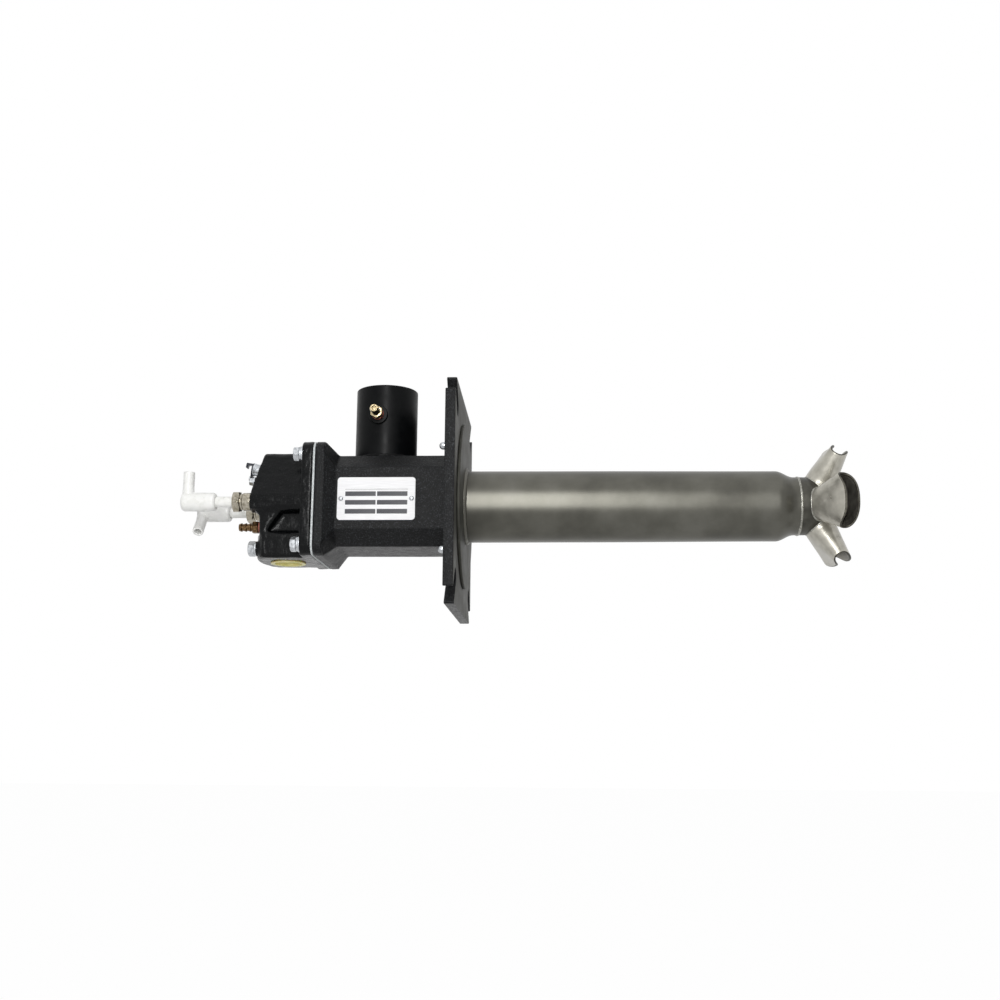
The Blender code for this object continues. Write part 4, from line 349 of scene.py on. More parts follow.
# %% Ceramic, plastics and fibre
ceramic = finish("sintered_alumina", ("#efefeb", 0.0, 0.32), 5.0,
                 [(0.3, "#e8e8e3"), (0.7, "#f5f5f2")], (0.26, 0.4), 0.02, detail=3.0, IOR=1.6)
porcelain = finish("moulded_porcelain", ("#f1f1ee", 0.0, 0.3), 7.0,
                   [(0.3, "#ebebe7"), (0.7, "#f6f6f4")], (0.24, 0.36), 0.03, detail=3.0,
                   IOR=1.52)
polythene = finish("yellow_polythene", ("#ecdf96", 0.0, 0.38), 6.0,
                   [(0.3, "#e3d384"), (0.7, "#f2e7a8")], (0.32, 0.45), 0.03, detail=3.0,
                   IOR=1.5, Subsurface_Weight=0.15)
fibre = finish("pressed_fibre_sheet", ("#c3c7c7", 0.0, 0.8), 0.8,
               [(0.3, "#9fa4a5"), (0.6, "#d3d7d7")], (0.7, 0.9), 0.06, detail=5.0,
               stretch=(1.0, 0.35, 0.35))
seal_ring = finish("red_fibre_washer", ("#8a4a3c", 0.0, 0.55), 0.9,
                   [(0.3, "#6b3329"), (0.7, "#a3604e")], (0.45, 0.65), 0.04)

# %% [markdown]
# ## Name plate and glass
# The plate is anodised aluminium: pale, matt, with a fine grain along its length. Its printed
# fields are black ink, left blank here. The sight glass is clear borosilicate.

# %% Name plate and glass
anodised = finish("anodised_aluminium", ("#ececed", 0.0, 0.55), 0.7,
                  [(0.3, "#e9e9ea"), (0.7, "#f5f5f6")], (0.34, 0.46), 0.008, detail=3.0,
                  stretch=(0.05, 1.0, 1.0), Specular_IOR_Level=0.25)
ink = finish("black_printing_ink", ("#3d3e42", 0.0, 0.5), 0.6,
             [(0.3, "#303135"), (0.7, "#4b4c51")], (0.42, 0.6), 0.01, detail=3.0)
sight = finish("borosilicate_glass", ("#dfe8e6", 0.0, 0.05), 4.0, None, (0.03, 0.09), 0.01,
               detail=1.0, IOR=1.47, Transmission_Weight=0.9)
print("materials:", len(bpy.data.materials))

# %% [markdown]
# ## Ways to make a mesh
# Most pieces of a burner come off a lathe, so their meshes do too: a half section in
# millimetres is spun round a line. Its corners are rounded first, because a real edge is
# never perfectly sharp and the small round is what catches the light. Other pieces are rings
# of points that are joined one after the other.

# %% Helpers for meshes
FINE_STEPS = 128
SMALL_STEPS = 64
SHARP_ANGLE = math.radians(38.0)
LEAST_BEND = math.radians(12.0)
ON_THE_AXIS = 1e-6
AXIS = Vector((1.0, 0.0, 0.0))
REARWARD = Vector((-1.0, 0.0, 0.0))
UPWARD = Vector((0.0, 0.0, 1.0))


def lay_along(direction, origin):
    """Matrix that lays the local X axis along a direction from an origin in millimetres."""
    turn = AXIS.rotation_difference(Vector(direction)).to_matrix().to_4x4()
    return Matrix.Translation(Vector(origin)) @ turn


def softened(profile, radius, closed=True, steps=4):
    """Round the corners of a section, never by more than the sides beside them allow."""
    points = [Vector(point) for point in profile]
    count = len(points)
    result = []
    for index, corner in enumerate(points):
        if not closed and index in (0, count - 1):
            result.append(tuple(corner))
            continue
        before = points[index - 1] - corner
        after = points[(index + 1) % count] - corner
        bend = math.pi - before.angle(after, math.pi)
        if bend < LEAST_BEND:
            result.append(tuple(corner))
            continue
        reach = min(radius * math.tan(bend / 2), 0.45 * before.length, 0.45 * after.length)
        start = corner + before.normalized() * reach
        end = corner + after.normalized() * reach
        for step in range(steps + 1):
            share = step / steps
            middle = start.lerp(corner, share).lerp(corner.lerp(end, share), share)
            result.append(tuple(middle))
    return result


# %% [markdown]
# Rings of points are joined by faces. A section spun round the X axis is such a row of rings,
# and a ring whose radius is nothing is a single point.

# %% Rings and what is made of them
def circle(radius, steps):
    """Points on a circle round the origin."""
    return [(radius * math.cos(2 * math.pi * step / steps),
             radius * math.sin(2 * math.pi * step / steps)) for step in range(steps)]


def bridge(shape, first, second):
    """Faces between two rings, either of which may be a single point."""
    count = max(len(first), len(second))
    if count == 1:
        return
    for step in range(count):
        following = (step + 1) % count
        corners = []
        for vertex in (first[step % len(first)], first[following % len(first)],
                       second[following % len(second)], second[step % len(second)]):
            if vertex not in corners:
                corners.append(vertex)
        shape.faces.new(corners)


def lofted(shape, rings, capped=True):
    """Join rings of a bmesh one after the other, with a flat cap on the first and the last."""
    for first, second in zip(rings, rings[1:]):
        bridge(shape, first, second)
    if capped:
        shape.faces.new(rings[0])
        shape.faces.new(rings[-1])
    bmesh.ops.recalc_face_normals(shape, faces=shape.faces)
    return shape


def spun(profile, steps=FINE_STEPS, closed=True):
    """Spin a section of (along, radius) points round the X axis."""
    shape = bmesh.new()
    rings = []
    for along, radius in profile:
        points = [(0.0, 0.0)] if radius < ON_THE_AXIS else circle(radius, steps)
        rings.append([shape.verts.new((along, *point)) for point in points])
    return lofted(shape, rings + rings[:1] if closed else rings, capped=False)


def turned(section, soft, steps=SMALL_STEPS):
    """Solid round shape: a section that starts and ends on the axis, softened and spun."""
    return spun(softened(section, soft, closed=False), steps, closed=False)


def ring_section(inner, outer, start, end):
    """Section of a flat ring or a straight tube."""
    return [(start, inner), (end, inner), (end, outer), (start, outer)]


def moved(shape, matrix):
    """Move a bmesh by a matrix, and hand it back."""
    bmesh.ops.transform(shape, matrix=matrix, verts=shape.verts)
    return shape


# %% [markdown]
# A mesh becomes a piece of the burner when it gets its finish, rides on a body and takes the
# place of the solids from CAD that it was drawn after. Those also say where it belongs.

# %% Pieces and the solids that they stand for
def placed(name, shape):
    """Object in the scene from a bmesh, which is used up."""
    mesh = bpy.data.meshes.new(name)
    shape.to_mesh(mesh)
    shape.free()
    thing = bpy.data.objects.new(name, mesh)
    bpy.context.scene.collection.objects.link(thing)
    return thing


def piece(name, shape, material, stands_for=(), body=BURNER, sharp=SHARP_ANGLE):
    """Turn a bmesh in millimetres into a piece that rides on a body and replaces CAD nodes."""
    thing = placed(name, moved(shape, Matrix.Scale(MM, 4)))
    for layer in (material if isinstance(material, tuple) else (material,)):
        thing.data.materials.append(layer)
    thing.data.shade_smooth()
    thing.data.set_sharp_from_angle(angle=sharp)
    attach(thing, body)
    if stands_for:
        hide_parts(*([stands_for] if isinstance(stands_for, str) else stands_for))
    return thing


def box_of(node):
    """Lowest and highest corner of a CAD node, in millimetres."""
    low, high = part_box(node)
    return low / MM, high / MM


def middle_of(node):
    """Middle of a CAD node's box, in millimetres."""
    low, high = box_of(node)
    return (low + high) / 2


def solid_copy(node):
    """Welded bmesh of a CAD node in millimetres."""
    shape = bmesh.new()
    shape.from_mesh(nodes[node].data)
    bmesh.ops.transform(shape, matrix=Matrix.Scale(1.0 / MM, 4), verts=shape.verts)
    bmesh.ops.remove_doubles(shape, verts=shape.verts, dist=0.002)
    return shape


# %% [markdown]
# ## Castings
# The housing and the rear cover are iron castings. A casting has no sharp corner: metal
# would not fill it and it would crack there. Rounding every edge of such a solid by hand is
# slow, so its copy is remeshed in small cubes and smoothed, which rounds all edges at once,
# and then the flat parts are simplified again. The cover's lower half has pockets in it, and
# their corners are worn down further.

# %% Round a casting
def evaluated(*things):
    """Bmesh of the first object with its modifiers. All the objects are used up."""
    bpy.context.view_layer.update()
    result = bmesh.new()
    result.from_object(things[0], bpy.context.evaluated_depsgraph_get())
    for thing in things:
        bpy.data.objects.remove(thing, do_unlink=True)
    return result


def remeshed(name, shape, voxel, rounds, waver=0.0, simplify=0.0, worn=None):
    """Remesh a solid in cubes of a size, smooth it, let its skin waver, and thin the faces.

    What lies in a box, where one is given with its number of rounds, is worn down further.
    """
    thing = placed(name, shape)
    cubes = thing.modifiers.new("cubes", "REMESH")
    cubes.mode = "VOXEL"
    cubes.voxel_size = voxel
    smooth = thing.modifiers.new("smooth", "SMOOTH")
    smooth.factor = SMOOTH_FACTOR
    smooth.iterations = rounds
    if simplify:
        thin = thing.modifiers.new("thin", "DECIMATE")
        thin.ratio = simplify
    result = evaluated(thing)
    if worn:
        low, high, more_rounds = worn
        soft = [vertex for vertex in result.verts
                if all(low[i] < vertex.co[i] < high[i] for i in range(3))]
        for _ in range(more_rounds):
            bmesh.ops.smooth_vert(result, verts=soft, factor=SMOOTH_FACTOR,
                                  use_axis_x=True, use_axis_y=True, use_axis_z=True)
    result.normal_update()
    if waver:
        moves = [vertex.normal * (waver * noise.noise(vertex.co / SAND_SWELL)
                                  + waver * GRAIN_SHARE * noise.noise(vertex.co / SAND_GRAIN))
                 for vertex in result.verts]
        for vertex, move in zip(result.verts, moves):
            vertex.co += move
    return result


CAST_VOXEL = 0.8
CAST_SHARP = math.radians(60.0)
SMOOTH_FACTOR = 0.5
HOUSING_ROUNDS, COVER_ROUNDS, POCKET_ROUNDS = 6, 16, 60
HOUSING_WAVER, COVER_WAVER = 0.1, 0.4
SAND_SWELL = 9.0
SAND_GRAIN = 3.0
GRAIN_SHARE = 0.4
cover_front = box_of("rear_cover")[1].x
WORN_POCKETS = ((cover_front - 56.0, -100.0, -33.0), (cover_front - 11.5, 100.0, -5.0),
                POCKET_ROUNDS)
housing_shape = remeshed("housing", solid_copy("housing_body"), CAST_VOXEL, HOUSING_ROUNDS,
                         waver=HOUSING_WAVER, simplify=0.3)
housing = piece("housing_casting", housing_shape, coat, "housing_body",
                sharp=CAST_SHARP)
cover_shape = remeshed("cover", solid_copy("rear_cover"), CAST_VOXEL, COVER_ROUNDS,
                       waver=COVER_WAVER, simplify=0.5, worn=WORN_POCKETS)
cover = piece("rear_cover_casting", cover_shape, thick_coat, "rear_cover",
              sharp=CAST_SHARP)
print("casting faces:", len(housing.data.polygons), len(cover.data.polygons))

# %% [markdown]
# ## Furnace flange
# A square plate is cut from 9 mm steel, with a slot open to each corner, so that the burner
# can be hung on its studs and slid in. The outline is drawn for one corner and turned three
# times. Its front face lies against the furnace and is bare steel.

# %% Outline of the flange
FLANGE_SIDE = 210.0
FLANGE_SLOT_WIDTH = 17.0
FLANGE_SLOT_CENTRE = 79.0
FLANGE_TIP_RADIUS = 1.6
FLANGE_TIP_BEND = math.radians(135.0)
FLANGE_EDGE = 0.7
TUBE_BORE = 35.1


def arc(centre, radius, start, end, steps=20):
    """Points on an arc between two angles in degrees, both ends included."""
    angles = [math.radians(start + (end - start) * step / steps) for step in range(steps + 1)]
    return [(centre[0] + radius * math.cos(a), centre[1] + radius * math.sin(a)) for a in angles]


def flange_outline():
    """Outline of the flange as (y, z) points, each slot with two rounded tips."""
    half = FLANGE_SIDE / 2
    slot = FLANGE_SLOT_WIDTH / 2
    apex = half - slot * math.sqrt(2)
    setback = FLANGE_TIP_RADIUS * math.tan(FLANGE_TIP_BEND / 2)
    near = (half - FLANGE_TIP_RADIUS, apex - setback)
    far = (near[1], near[0])
    corner = arc(near, FLANGE_TIP_RADIUS, 0.0, 135.0, 8)
    corner += arc((FLANGE_SLOT_CENTRE, FLANGE_SLOT_CENTRE), slot, 315.0, 135.0)
    corner += arc(far, FLANGE_TIP_RADIUS, -45.0, 90.0, 8)
    outline = []
    for quarter in range(4):
        turn = Matrix.Rotation(math.radians(90.0 * quarter), 2)
        outline += [tuple(turn @ Vector(point)) for point in corner]
    return outline


# %% [markdown]
# A plate is drawn from rings that follow its outline. Towards its two faces they move
# inwards, which rounds the edge.

# %% Plates with rounded edges
def inset_outline(points, amount):
    """Move an outline's points inwards along the mean normal of the two sides at each."""
    result = []
    count = len(points)
    for index in range(count):
        before = Vector(points[index]) - Vector(points[index - 1])
        after = Vector(points[(index + 1) % count]) - Vector(points[index])
        normal = (Vector((-before.y, before.x)).normalized()
                  + Vector((-after.y, after.x)).normalized()).normalized()
        result.append(tuple(Vector(points[index]) + normal * amount))
    return result


def plate(outline, rear, front, edge, bore=0.0, steps=3):
    """Flat plate from an outline of (y, z) points, its edges rounded, with a round bore."""
    shape = bmesh.new()
    quarter = [math.pi / 2 * step / steps for step in range(steps + 1)]
    round_edge = [(edge * (1 - math.sin(angle)), edge * (1 - math.cos(angle)))
                  for angle in quarter]
    stations = [(rear + depth, inset) for inset, depth in round_edge]
    stations += [(front - depth, inset) for inset, depth in reversed(round_edge)]
    rings = [[shape.verts.new((x, y, z)) for y, z in inset_outline(outline, inset)]
             for x, inset in stations]
    if not bore:
        return lofted(shape, rings)
    for first, second in zip(rings, rings[1:]):
        bridge(shape, first, second)
    holes = [[shape.verts.new((x, *point)) for point in circle(bore, FINE_STEPS)]
             for x in (rear, front)]
    bridge(shape, *holes)
    for loop, hole in ((rings[0], holes[0]), (rings[-1], holes[1])):
        edges = [shape.edges.get((ring[i - 1], ring[i]))
                 for ring in (loop, hole) for i in range(len(ring))]
        bmesh.ops.triangle_fill(shape, use_beauty=True, edges=edges)
    bmesh.ops.recalc_face_normals(shape, faces=shape.faces)
    return shape


# %% [markdown]
# The flange is such a plate, with the tube's bore through its middle and a coat on all but
# its front face.

# %% Furnace flange
flange_low, flange_high = box_of("furnace_flange")
flange_shape = plate(flange_outline(), flange_low.x, flange_high.x, FLANGE_EDGE, TUBE_BORE)
flange_shape.normal_update()
for face in flange_shape.faces:
    face.material_index = 1 if face.normal.x > 0.9 else 0
flange = piece("slotted_flange_plate", flange_shape, (coat, rolled_steel), "furnace_flange",
               sharp=math.radians(50.0))
print("flange faces:", len(flange.data.polygons))

# %% [markdown]
# ## Welds
# A weld bead is a row of frozen drops. Its section is swept along the seam, and its size
# swells and falls a little at each drop and drifts along the way, as a hand does it.

# %% Sweep a weld bead
WELD_DROP = 1.9
WELD_SWELL = 0.07
WELD_DRIFT_SIZE = 5.0


def weld_bead(seam, half_width, half_height, outward, drift=0.12, sides=10):
    """Sweep an oval along a closed seam; outward gives the direction of its height."""
    shape = bmesh.new()
    count = len(seam)
    rings = []
    walked = 0.0
    for index, point in enumerate(seam):
        along = (seam[(index + 1) % count] - seam[index - 1]).normalized()
        up = outward(point)
        up = (up - along * up.dot(along)).normalized()
        side = along.cross(up)
        walked += (point - seam[index - 1]).length if index else 0.0
        size = 1.0 + WELD_SWELL * math.sin(2 * math.pi * walked / WELD_DROP)
        size += drift * noise.noise(point / WELD_DRIFT_SIZE)
        ring = [point + side * (half_width * size * math.cos(2 * math.pi * s / sides))
                + up * (half_height * size * math.sin(2 * math.pi * s / sides))
                for s in range(sides)]
        rings.append([shape.verts.new(place) for place in ring])
    for index in range(count):
        bridge(shape, rings[index - 1], rings[index])
    bmesh.ops.recalc_face_normals(shape, faces=shape.faces)
    return shape


def round_seam(radius, along, steps=420):
    """Round seam about the X axis."""
    return [Vector((along, *point)) for point in circle(radius, steps)]


def from_axis(point):
    """Direction from the X axis to a point."""
    return Vector((0.0, point.y, point.z)).normalized()


# %% [markdown]
# ## Flame tube and its disc
# The tube is drawn from sheet, very nearly straight, and spun down at its end to a soft
# shoulder and a neck, where the head is welded on. Its radius is one smooth curve, and the
# steps round it are fine enough for a clean outline in a close view.

# %% Flame tube
TUBE_LENGTH = 322.0
TUBE_WALL = 2.0
TUBE_REAR_X = -9.4
TUBE_ROOT_RADIUS = 34.8
TUBE_MIDDLE_RADIUS = 34.6
TUBE_MIDDLE_X = 108.0
TUBE_END_RADIUS = 33.9
SHOULDER_LENGTH = 17.0
SHOULDER_X = 301.0
NECK_RADIUS = 28.0


def between(start, end, share):
    """Value at a share of the way from a start to an end."""
    return start + (end - start) * share


def eased(share):
    """Share of the way that starts and ends gently."""
    share = min(1.0, max(0.0, share))
    return share * share * (3.0 - 2.0 * share)


def tube_radius(x):
    """Outer radius of the flame tube along the burner's axis, shoulder included."""
    if x < TUBE_MIDDLE_X:
        return between(TUBE_ROOT_RADIUS, TUBE_MIDDLE_RADIUS, eased(x / TUBE_MIDDLE_X))
    share = (x - TUBE_MIDDLE_X) / (SHOULDER_X - TUBE_MIDDLE_X)
    radius = between(TUBE_MIDDLE_RADIUS, TUBE_END_RADIUS, eased(share))
    return radius + (NECK_RADIUS - TUBE_END_RADIUS) * eased((x - SHOULDER_X) / SHOULDER_LENGTH)


def tube_section():
    """Closed section of the tube's wall, denser at the shoulder."""
    stations = [TUBE_REAR_X] + [6.0 * step for step in range(1, 48)]
    stations += [SHOULDER_X - 8.0 + 1.5 * step for step in range(22)]
    stations = [x for x in stations if x < TUBE_LENGTH] + [TUBE_LENGTH]
    outer = [(x, tube_radius(x)) for x in stations]
    return outer + [(x, radius - TUBE_WALL) for x, radius in reversed(outer)]


tube = piece("spun_flame_tube", spun(tube_section()), tube_steel, "flame_tube")
print("tube faces:", len(tube.data.polygons))

# %% [markdown]
# The disc is a flat ring. One bead joins the tube to it, and a bright one joins the tube's
# neck to the head.

# %% Tube disc and the welds at the tube's ends
DISC_RADIUS = 80.0
DISC_REAR_X = 0.3
DISC_FRONT_X = 2.9
DISC_EDGE = 0.7
ROOT_WELD_X = 3.6
ROOT_WELD_RADIUS = 35.2
NECK_WELD_X = 322.15
disc_section = ring_section(TUBE_BORE, DISC_RADIUS, DISC_REAR_X, DISC_FRONT_X)
disc = piece("tube_flange_disc_turned", spun(softened(disc_section, DISC_EDGE)), rolled_steel,
             "tube_flange_disc")
root_weld = piece("tube_root_weld",
                  weld_bead(round_seam(ROOT_WELD_RADIUS, ROOT_WELD_X), 2.6, 1.9,
                            lambda point: (from_axis(point) + AXIS).normalized(), drift=0.2),
                  tube_steel)
neck_weld = piece("neck_weld",
                  weld_bead(round_seam(NECK_RADIUS, NECK_WELD_X), 1.15, 0.7, from_axis,
                            drift=0.4), weld_metal, "head_weld_bead")
print("disc and weld faces:", [len(thing.data.polygons) for thing in (disc, root_weld, neck_weld)])

# %% [markdown]
# ## Outlets
# Each outlet is a piece of round pipe pressed flat into a fan, with its mouth cut to a
# saddle: a lobe at each narrow side and a notch along the flat ones. It is one formula. A
# section squared off between an oval and a rectangle grows from root to mouth, the rear side
# is pressed in at the mouth, which makes it a fish mouth, and the wall ends in a rounded lip.

# %% Outlet shape
OUTLET_ANGLE = math.radians(64.0)
OUTLET_TURN = math.radians(4.0)
OUTLET_ORIGIN_X = 331.0
OUTLET_ROOT_DISTANCE = 24.0
OUTLET_LOBE = 40.6
OUTLET_REAR_LOBE = 39.6
OUTLET_NOTCH = 30.0
OUTLET_WALL = 2.4
ROOT_SQUARENESS = 2.3
MOUTH_REAR_SQUARENESS = 2.9
MOUTH_FRONT_SQUARENESS = 2.3
OUTLET_PRESS = 6.0
LOBE_POWER = 2.1
ROOT_REAR, ROOT_FRONT, ROOT_HALF = 12.8, 17.0, 16.5
MOUTH_REAR, MOUTH_FRONT, MOUTH_HALF = 8.0, 13.0, 30.0
OUTLET_STEPS = 120
OUTLET_LEVELS = 22
LIP_STEPS = 6
PLUG_ENDS = (-9.0, 12.0)
SEAM_HEIGHT = 0.3
DOME_CENTRE = Vector((326.3, 0.0, 0.0))
HEAD_WALL = 2.2
HEAD_START_X = 322.3
OUTLET_ALONG = Vector((math.cos(OUTLET_ANGLE), math.sin(OUTLET_ANGLE), 0.0))
OUTLET_FORWARD = Vector((math.sin(OUTLET_ANGLE), -math.cos(OUTLET_ANGLE), 0.0))


def outlet_reach(angle):
    """Length of the outlet at an angle round it: a lobe at the front and rear, a notch between."""
    lobe = OUTLET_LOBE if math.cos(angle) > 0.0 else OUTLET_REAR_LOBE
    return OUTLET_NOTCH + (lobe - OUTLET_NOTCH) * abs(math.cos(angle)) ** LOBE_POWER


def outlet_point(angle, distance, inset):
    """Point of the outlet's skin, moved in by an inset, for the outlet towards +Y."""
    share = max(0.0, distance / OUTLET_LOBE)
    rear = between(ROOT_REAR, MOUTH_REAR, share)
    front = between(ROOT_FRONT, MOUTH_FRONT, share)
    half = between(ROOT_HALF, MOUTH_HALF, share)
    mouth = MOUTH_FRONT_SQUARENESS if math.cos(angle) > 0.0 else MOUTH_REAR_SQUARENESS
    power = 2.0 / between(ROOT_SQUARENESS, mouth, share)
    cosine = math.copysign(abs(math.cos(angle)) ** power, math.cos(angle))
    sine = math.copysign(abs(math.sin(angle)) ** power, math.sin(angle))
    depth = (front - rear) / 2 + ((front + rear) / 2 - inset) * cosine
    if cosine < 0.0:
        depth += OUTLET_PRESS * share ** 2 * abs(math.cos(angle)) ** 4
    return (Vector((OUTLET_ORIGIN_X, 0.0, 0.0))
            + OUTLET_ALONG * (OUTLET_ROOT_DISTANCE + distance)
            + OUTLET_FORWARD * depth + UPWARD * ((half - inset) * sine))


def above_head(point):
    """Height of a point above the skin of the neck and dome."""
    if point.x < DOME_CENTRE.x:
        return math.hypot(point.y, point.z) - NECK_RADIUS
    return (point - DOME_CENTRE).length - NECK_RADIUS


def outlet_root(angle, inset=0.0):
    """Distance along the outlet at which its skin comes out of the head, found by halving."""
    low, high = -20.0, 20.0
    for _ in range(40):
        middle = (low + high) / 2
        if above_head(outlet_point(angle, middle, inset)) < 0.0:
            low = middle
        else:
            high = middle
    return high


def outlet_angles():
    """Angles round an outlet at which its skin is drawn."""
    return [2 * math.pi * step / OUTLET_STEPS for step in range(OUTLET_STEPS)]


# %% [markdown]
# The wall goes up the outside, round the lip and down the inside. A solid of the same form,
# without a lip, will cut the port out of the dome.

# %% Wall of an outlet
def outlet_shell():
    """Wall of one outlet, outside, lip and inside, from just under the head's skin."""
    shape = bmesh.new()
    lip = OUTLET_WALL / 2
    columns = []
    for angle in outlet_angles():
        end = outlet_reach(angle) - lip
        outside = outlet_root(angle) - HEAD_WALL / 2
        column = [outlet_point(angle, between(outside, end, level / OUTLET_LEVELS), 0.0)
                  for level in range(OUTLET_LEVELS + 1)]
        for step in range(1, LIP_STEPS):
            bend = math.pi * step / LIP_STEPS
            column.append(outlet_point(angle, end + lip * math.sin(bend),
                                       lip * (1 - math.cos(bend))))
        column += [outlet_point(angle, between(end, outside, level / OUTLET_LEVELS), OUTLET_WALL)
                   for level in range(OUTLET_LEVELS + 1)]
        columns.append([shape.verts.new(point) for point in column])
    for index in range(len(columns)):
        bridge(shape, columns[index - 1], columns[index])
    bmesh.ops.recalc_face_normals(shape, faces=shape.faces)
    for index, face in enumerate(shape.faces):
        level = index % len(column)
        face.material_index = (level >= OUTLET_LEVELS) + (level >= OUTLET_LEVELS + LIP_STEPS)
    return shape


def outlet_plug(inset):
    """Solid that fills one outlet, to cut its port out of the dome."""
    shape = bmesh.new()
    rings = [[shape.verts.new(outlet_point(angle, distance, inset)) for angle in outlet_angles()]
             for distance in PLUG_ENDS]
    return lofted(shape, rings)


# %% [markdown]
# The same outlet stands four times round the head, turned a few degrees from upright as in
# the photograph, with a weld bead along its foot.

# %% Place the outlets
def quarter_turn(count):
    """Turn of an outlet to its place round the head."""
    return Matrix.Rotation(math.radians(90.0 * count) + OUTLET_TURN, 4, AXIS)


for count, side in enumerate(("back", "top", "front", "bottom")):
    node = "nozzle_outlet_" + side
    piece("pressed_outlet_" + side, moved(outlet_shell(), quarter_turn(count)),
          (outlet_steel, lip_steel, inner_steel), node)
    seam = [outlet_point(angle, outlet_root(angle) + SEAM_HEIGHT, SEAM_HEIGHT)
            for angle in outlet_angles()]
    seam_weld = weld_bead(seam, 1.0, 0.9, lambda point: (point - DOME_CENTRE).normalized(), 0.4)
    piece("outlet_weld_" + side, moved(seam_weld, quarter_turn(count)), weld_metal)
print("outlet corners in mm:", [round(v, 1) for v in box_of("nozzle_outlet_top")[1]])

# %% [markdown]
# ## Head dome
# The head is a short neck that ends in a half sphere. A port is cut through it under each
# outlet. The ports are cut with solids made by the same formula as the outlets.

# %% Cut one solid with others
def combined(shape, cutters, operation="DIFFERENCE"):
    """Boolean of a bmesh with several others; all of them are used up."""
    things = [placed("part", part) for part in [shape] + list(cutters)]
    for cutter in things[1:]:
        step = things[0].modifiers.new("cut", "BOOLEAN")
        step.operation = operation
        step.solver = "EXACT"
        step.object = cutter
    return evaluated(*things)


def dome_section(radius, steps=24):
    """Half section of the neck and the half sphere, at a radius."""
    points = [(HEAD_START_X, radius)]
    points += [(DOME_CENTRE.x + radius * math.sin(math.pi / 2 * step / steps),
                radius * math.cos(math.pi / 2 * step / steps)) for step in range(steps)]
    return points + [(DOME_CENTRE.x + radius, 0.0)]


# %% [markdown]
# The dome's section goes over the outside and back along the inside. The ports are a little
# narrower than the bores of the outlets.

# %% Head dome with its ports
PORT_LEDGE = 0.4
head_section = dome_section(NECK_RADIUS) + dome_section(NECK_RADIUS - HEAD_WALL)[::-1]
ports = [moved(outlet_plug(OUTLET_WALL + PORT_LEDGE), quarter_turn(count))
         for count in range(4)]
head = piece("nozzle_head_dome", combined(spun(head_section), ports), head_steel, "nozzle_head")
print("head faces:", len(head.data.polygons))

# %% [markdown]
# ## Screws, bolts and washers
# A bolt head is forged as a hexagon and its corners are taken off by a cone, which leaves the
# curved line on each flat. Both shapes are one formula: at each place the radius is the least
# of the six flats and the cone, blended a little so that the edges are soft. The rings it's
# made of lie closer together near the ends, where the cone bends the outline.

# %% Hexagon heads, washers and screws
HEX_STEPS = 120
HEX_LEVELS = (0.0, 0.02, 0.06, 0.12, 0.2, 0.3, 0.5, 0.7, 0.8, 0.88, 0.94, 0.98, 1.0)
CHAMFER_ANGLE = math.radians(30.0)
CHAMFER_START = 0.95


def least(values, softness):
    """Smallest of some values, blended over a softness so that edges are rounded."""
    return -softness * math.log(sum(math.exp(-value / softness) for value in values))


def hexagon_head(width, height, both_sides=False, bore=0.0, softness=0.12, turn=0.0):
    """Hexagon from X = 0 to a height, its top corners (or both) taken off by a cone."""
    cone = math.tan(CHAMFER_ANGLE)
    top = width / 2 * CHAMFER_START
    shape = bmesh.new()
    rings = []
    for level in HEX_LEVELS:
        x = level * height
        limits = [top + (height - x) / cone]
        if both_sides:
            limits.append(top + x / cone)
        ring = []
        for step in range(HEX_STEPS):
            angle = 2 * math.pi * step / HEX_STEPS
            flats = [width / 2 / math.cos(angle - math.radians(60.0 * flat))
                     for flat in range(6) if math.cos(angle - math.radians(60.0 * flat)) > 0.3]
            radius = least(flats + limits, softness)
            ring.append(shape.verts.new((x, radius * math.cos(angle), radius * math.sin(angle))))
        rings.append(ring)
    inner = bore or width / 2 * 0.3
    for x, place in ((0.0, 0), (height, len(rings) + 1)):
        rings.insert(place, [shape.verts.new((x, *point)) for point in circle(inner, HEX_STEPS)])
    lofted(shape, rings + rings[:1] if bore else rings, capped=not bore)
    return moved(shape, Matrix.Rotation(turn, 4, AXIS))


# %% [markdown]
# Washers and shanks are turned. A spring washer is a ring that was cut and bent apart.

# %% Washers and shanks
def washer(inner, outer, start, end, soft=0.25):
    """Flat washer with softened edges."""
    return spun(softened(ring_section(inner, outer, start, end), soft), SMALL_STEPS)


def spring_washer(inner, outer, start, end, split=5.0, rise=0.35):
    """Split ring whose two ends stand a little apart."""
    shape = bmesh.new()
    section = softened(ring_section(inner, outer, start + rise / 2, end - rise / 2), 0.2)
    steps = SMALL_STEPS
    rings = []
    for step in range(steps + 1):
        share = step / steps
        angle = math.radians(split + (360.0 - 2 * split) * share)
        rings.append([shape.verts.new((x + rise * (share - 0.5), radius * math.cos(angle),
                                       radius * math.sin(angle))) for x, radius in section])
    return lofted(shape, rings)


def joined(*shapes):
    """Several bmeshes as one, side by side."""
    whole = shapes[0]
    for part in shapes[1:]:
        mesh = bpy.data.meshes.new("part")
        part.to_mesh(mesh)
        part.free()
        whole.from_mesh(mesh)
        bpy.data.meshes.remove(mesh)
    return whole


def shank(radius, start, end, soft=0.3, steps=SMALL_STEPS):
    """Round bar along X with softened ends."""
    return turned([(start, 0.0), (start, radius), (end, radius), (end, 0.0)], soft, steps)


# %% [markdown]
# Four bolts hold the cover, each with a flat washer and a spring washer. Their heads came to
# rest at different turns when they were tightened.

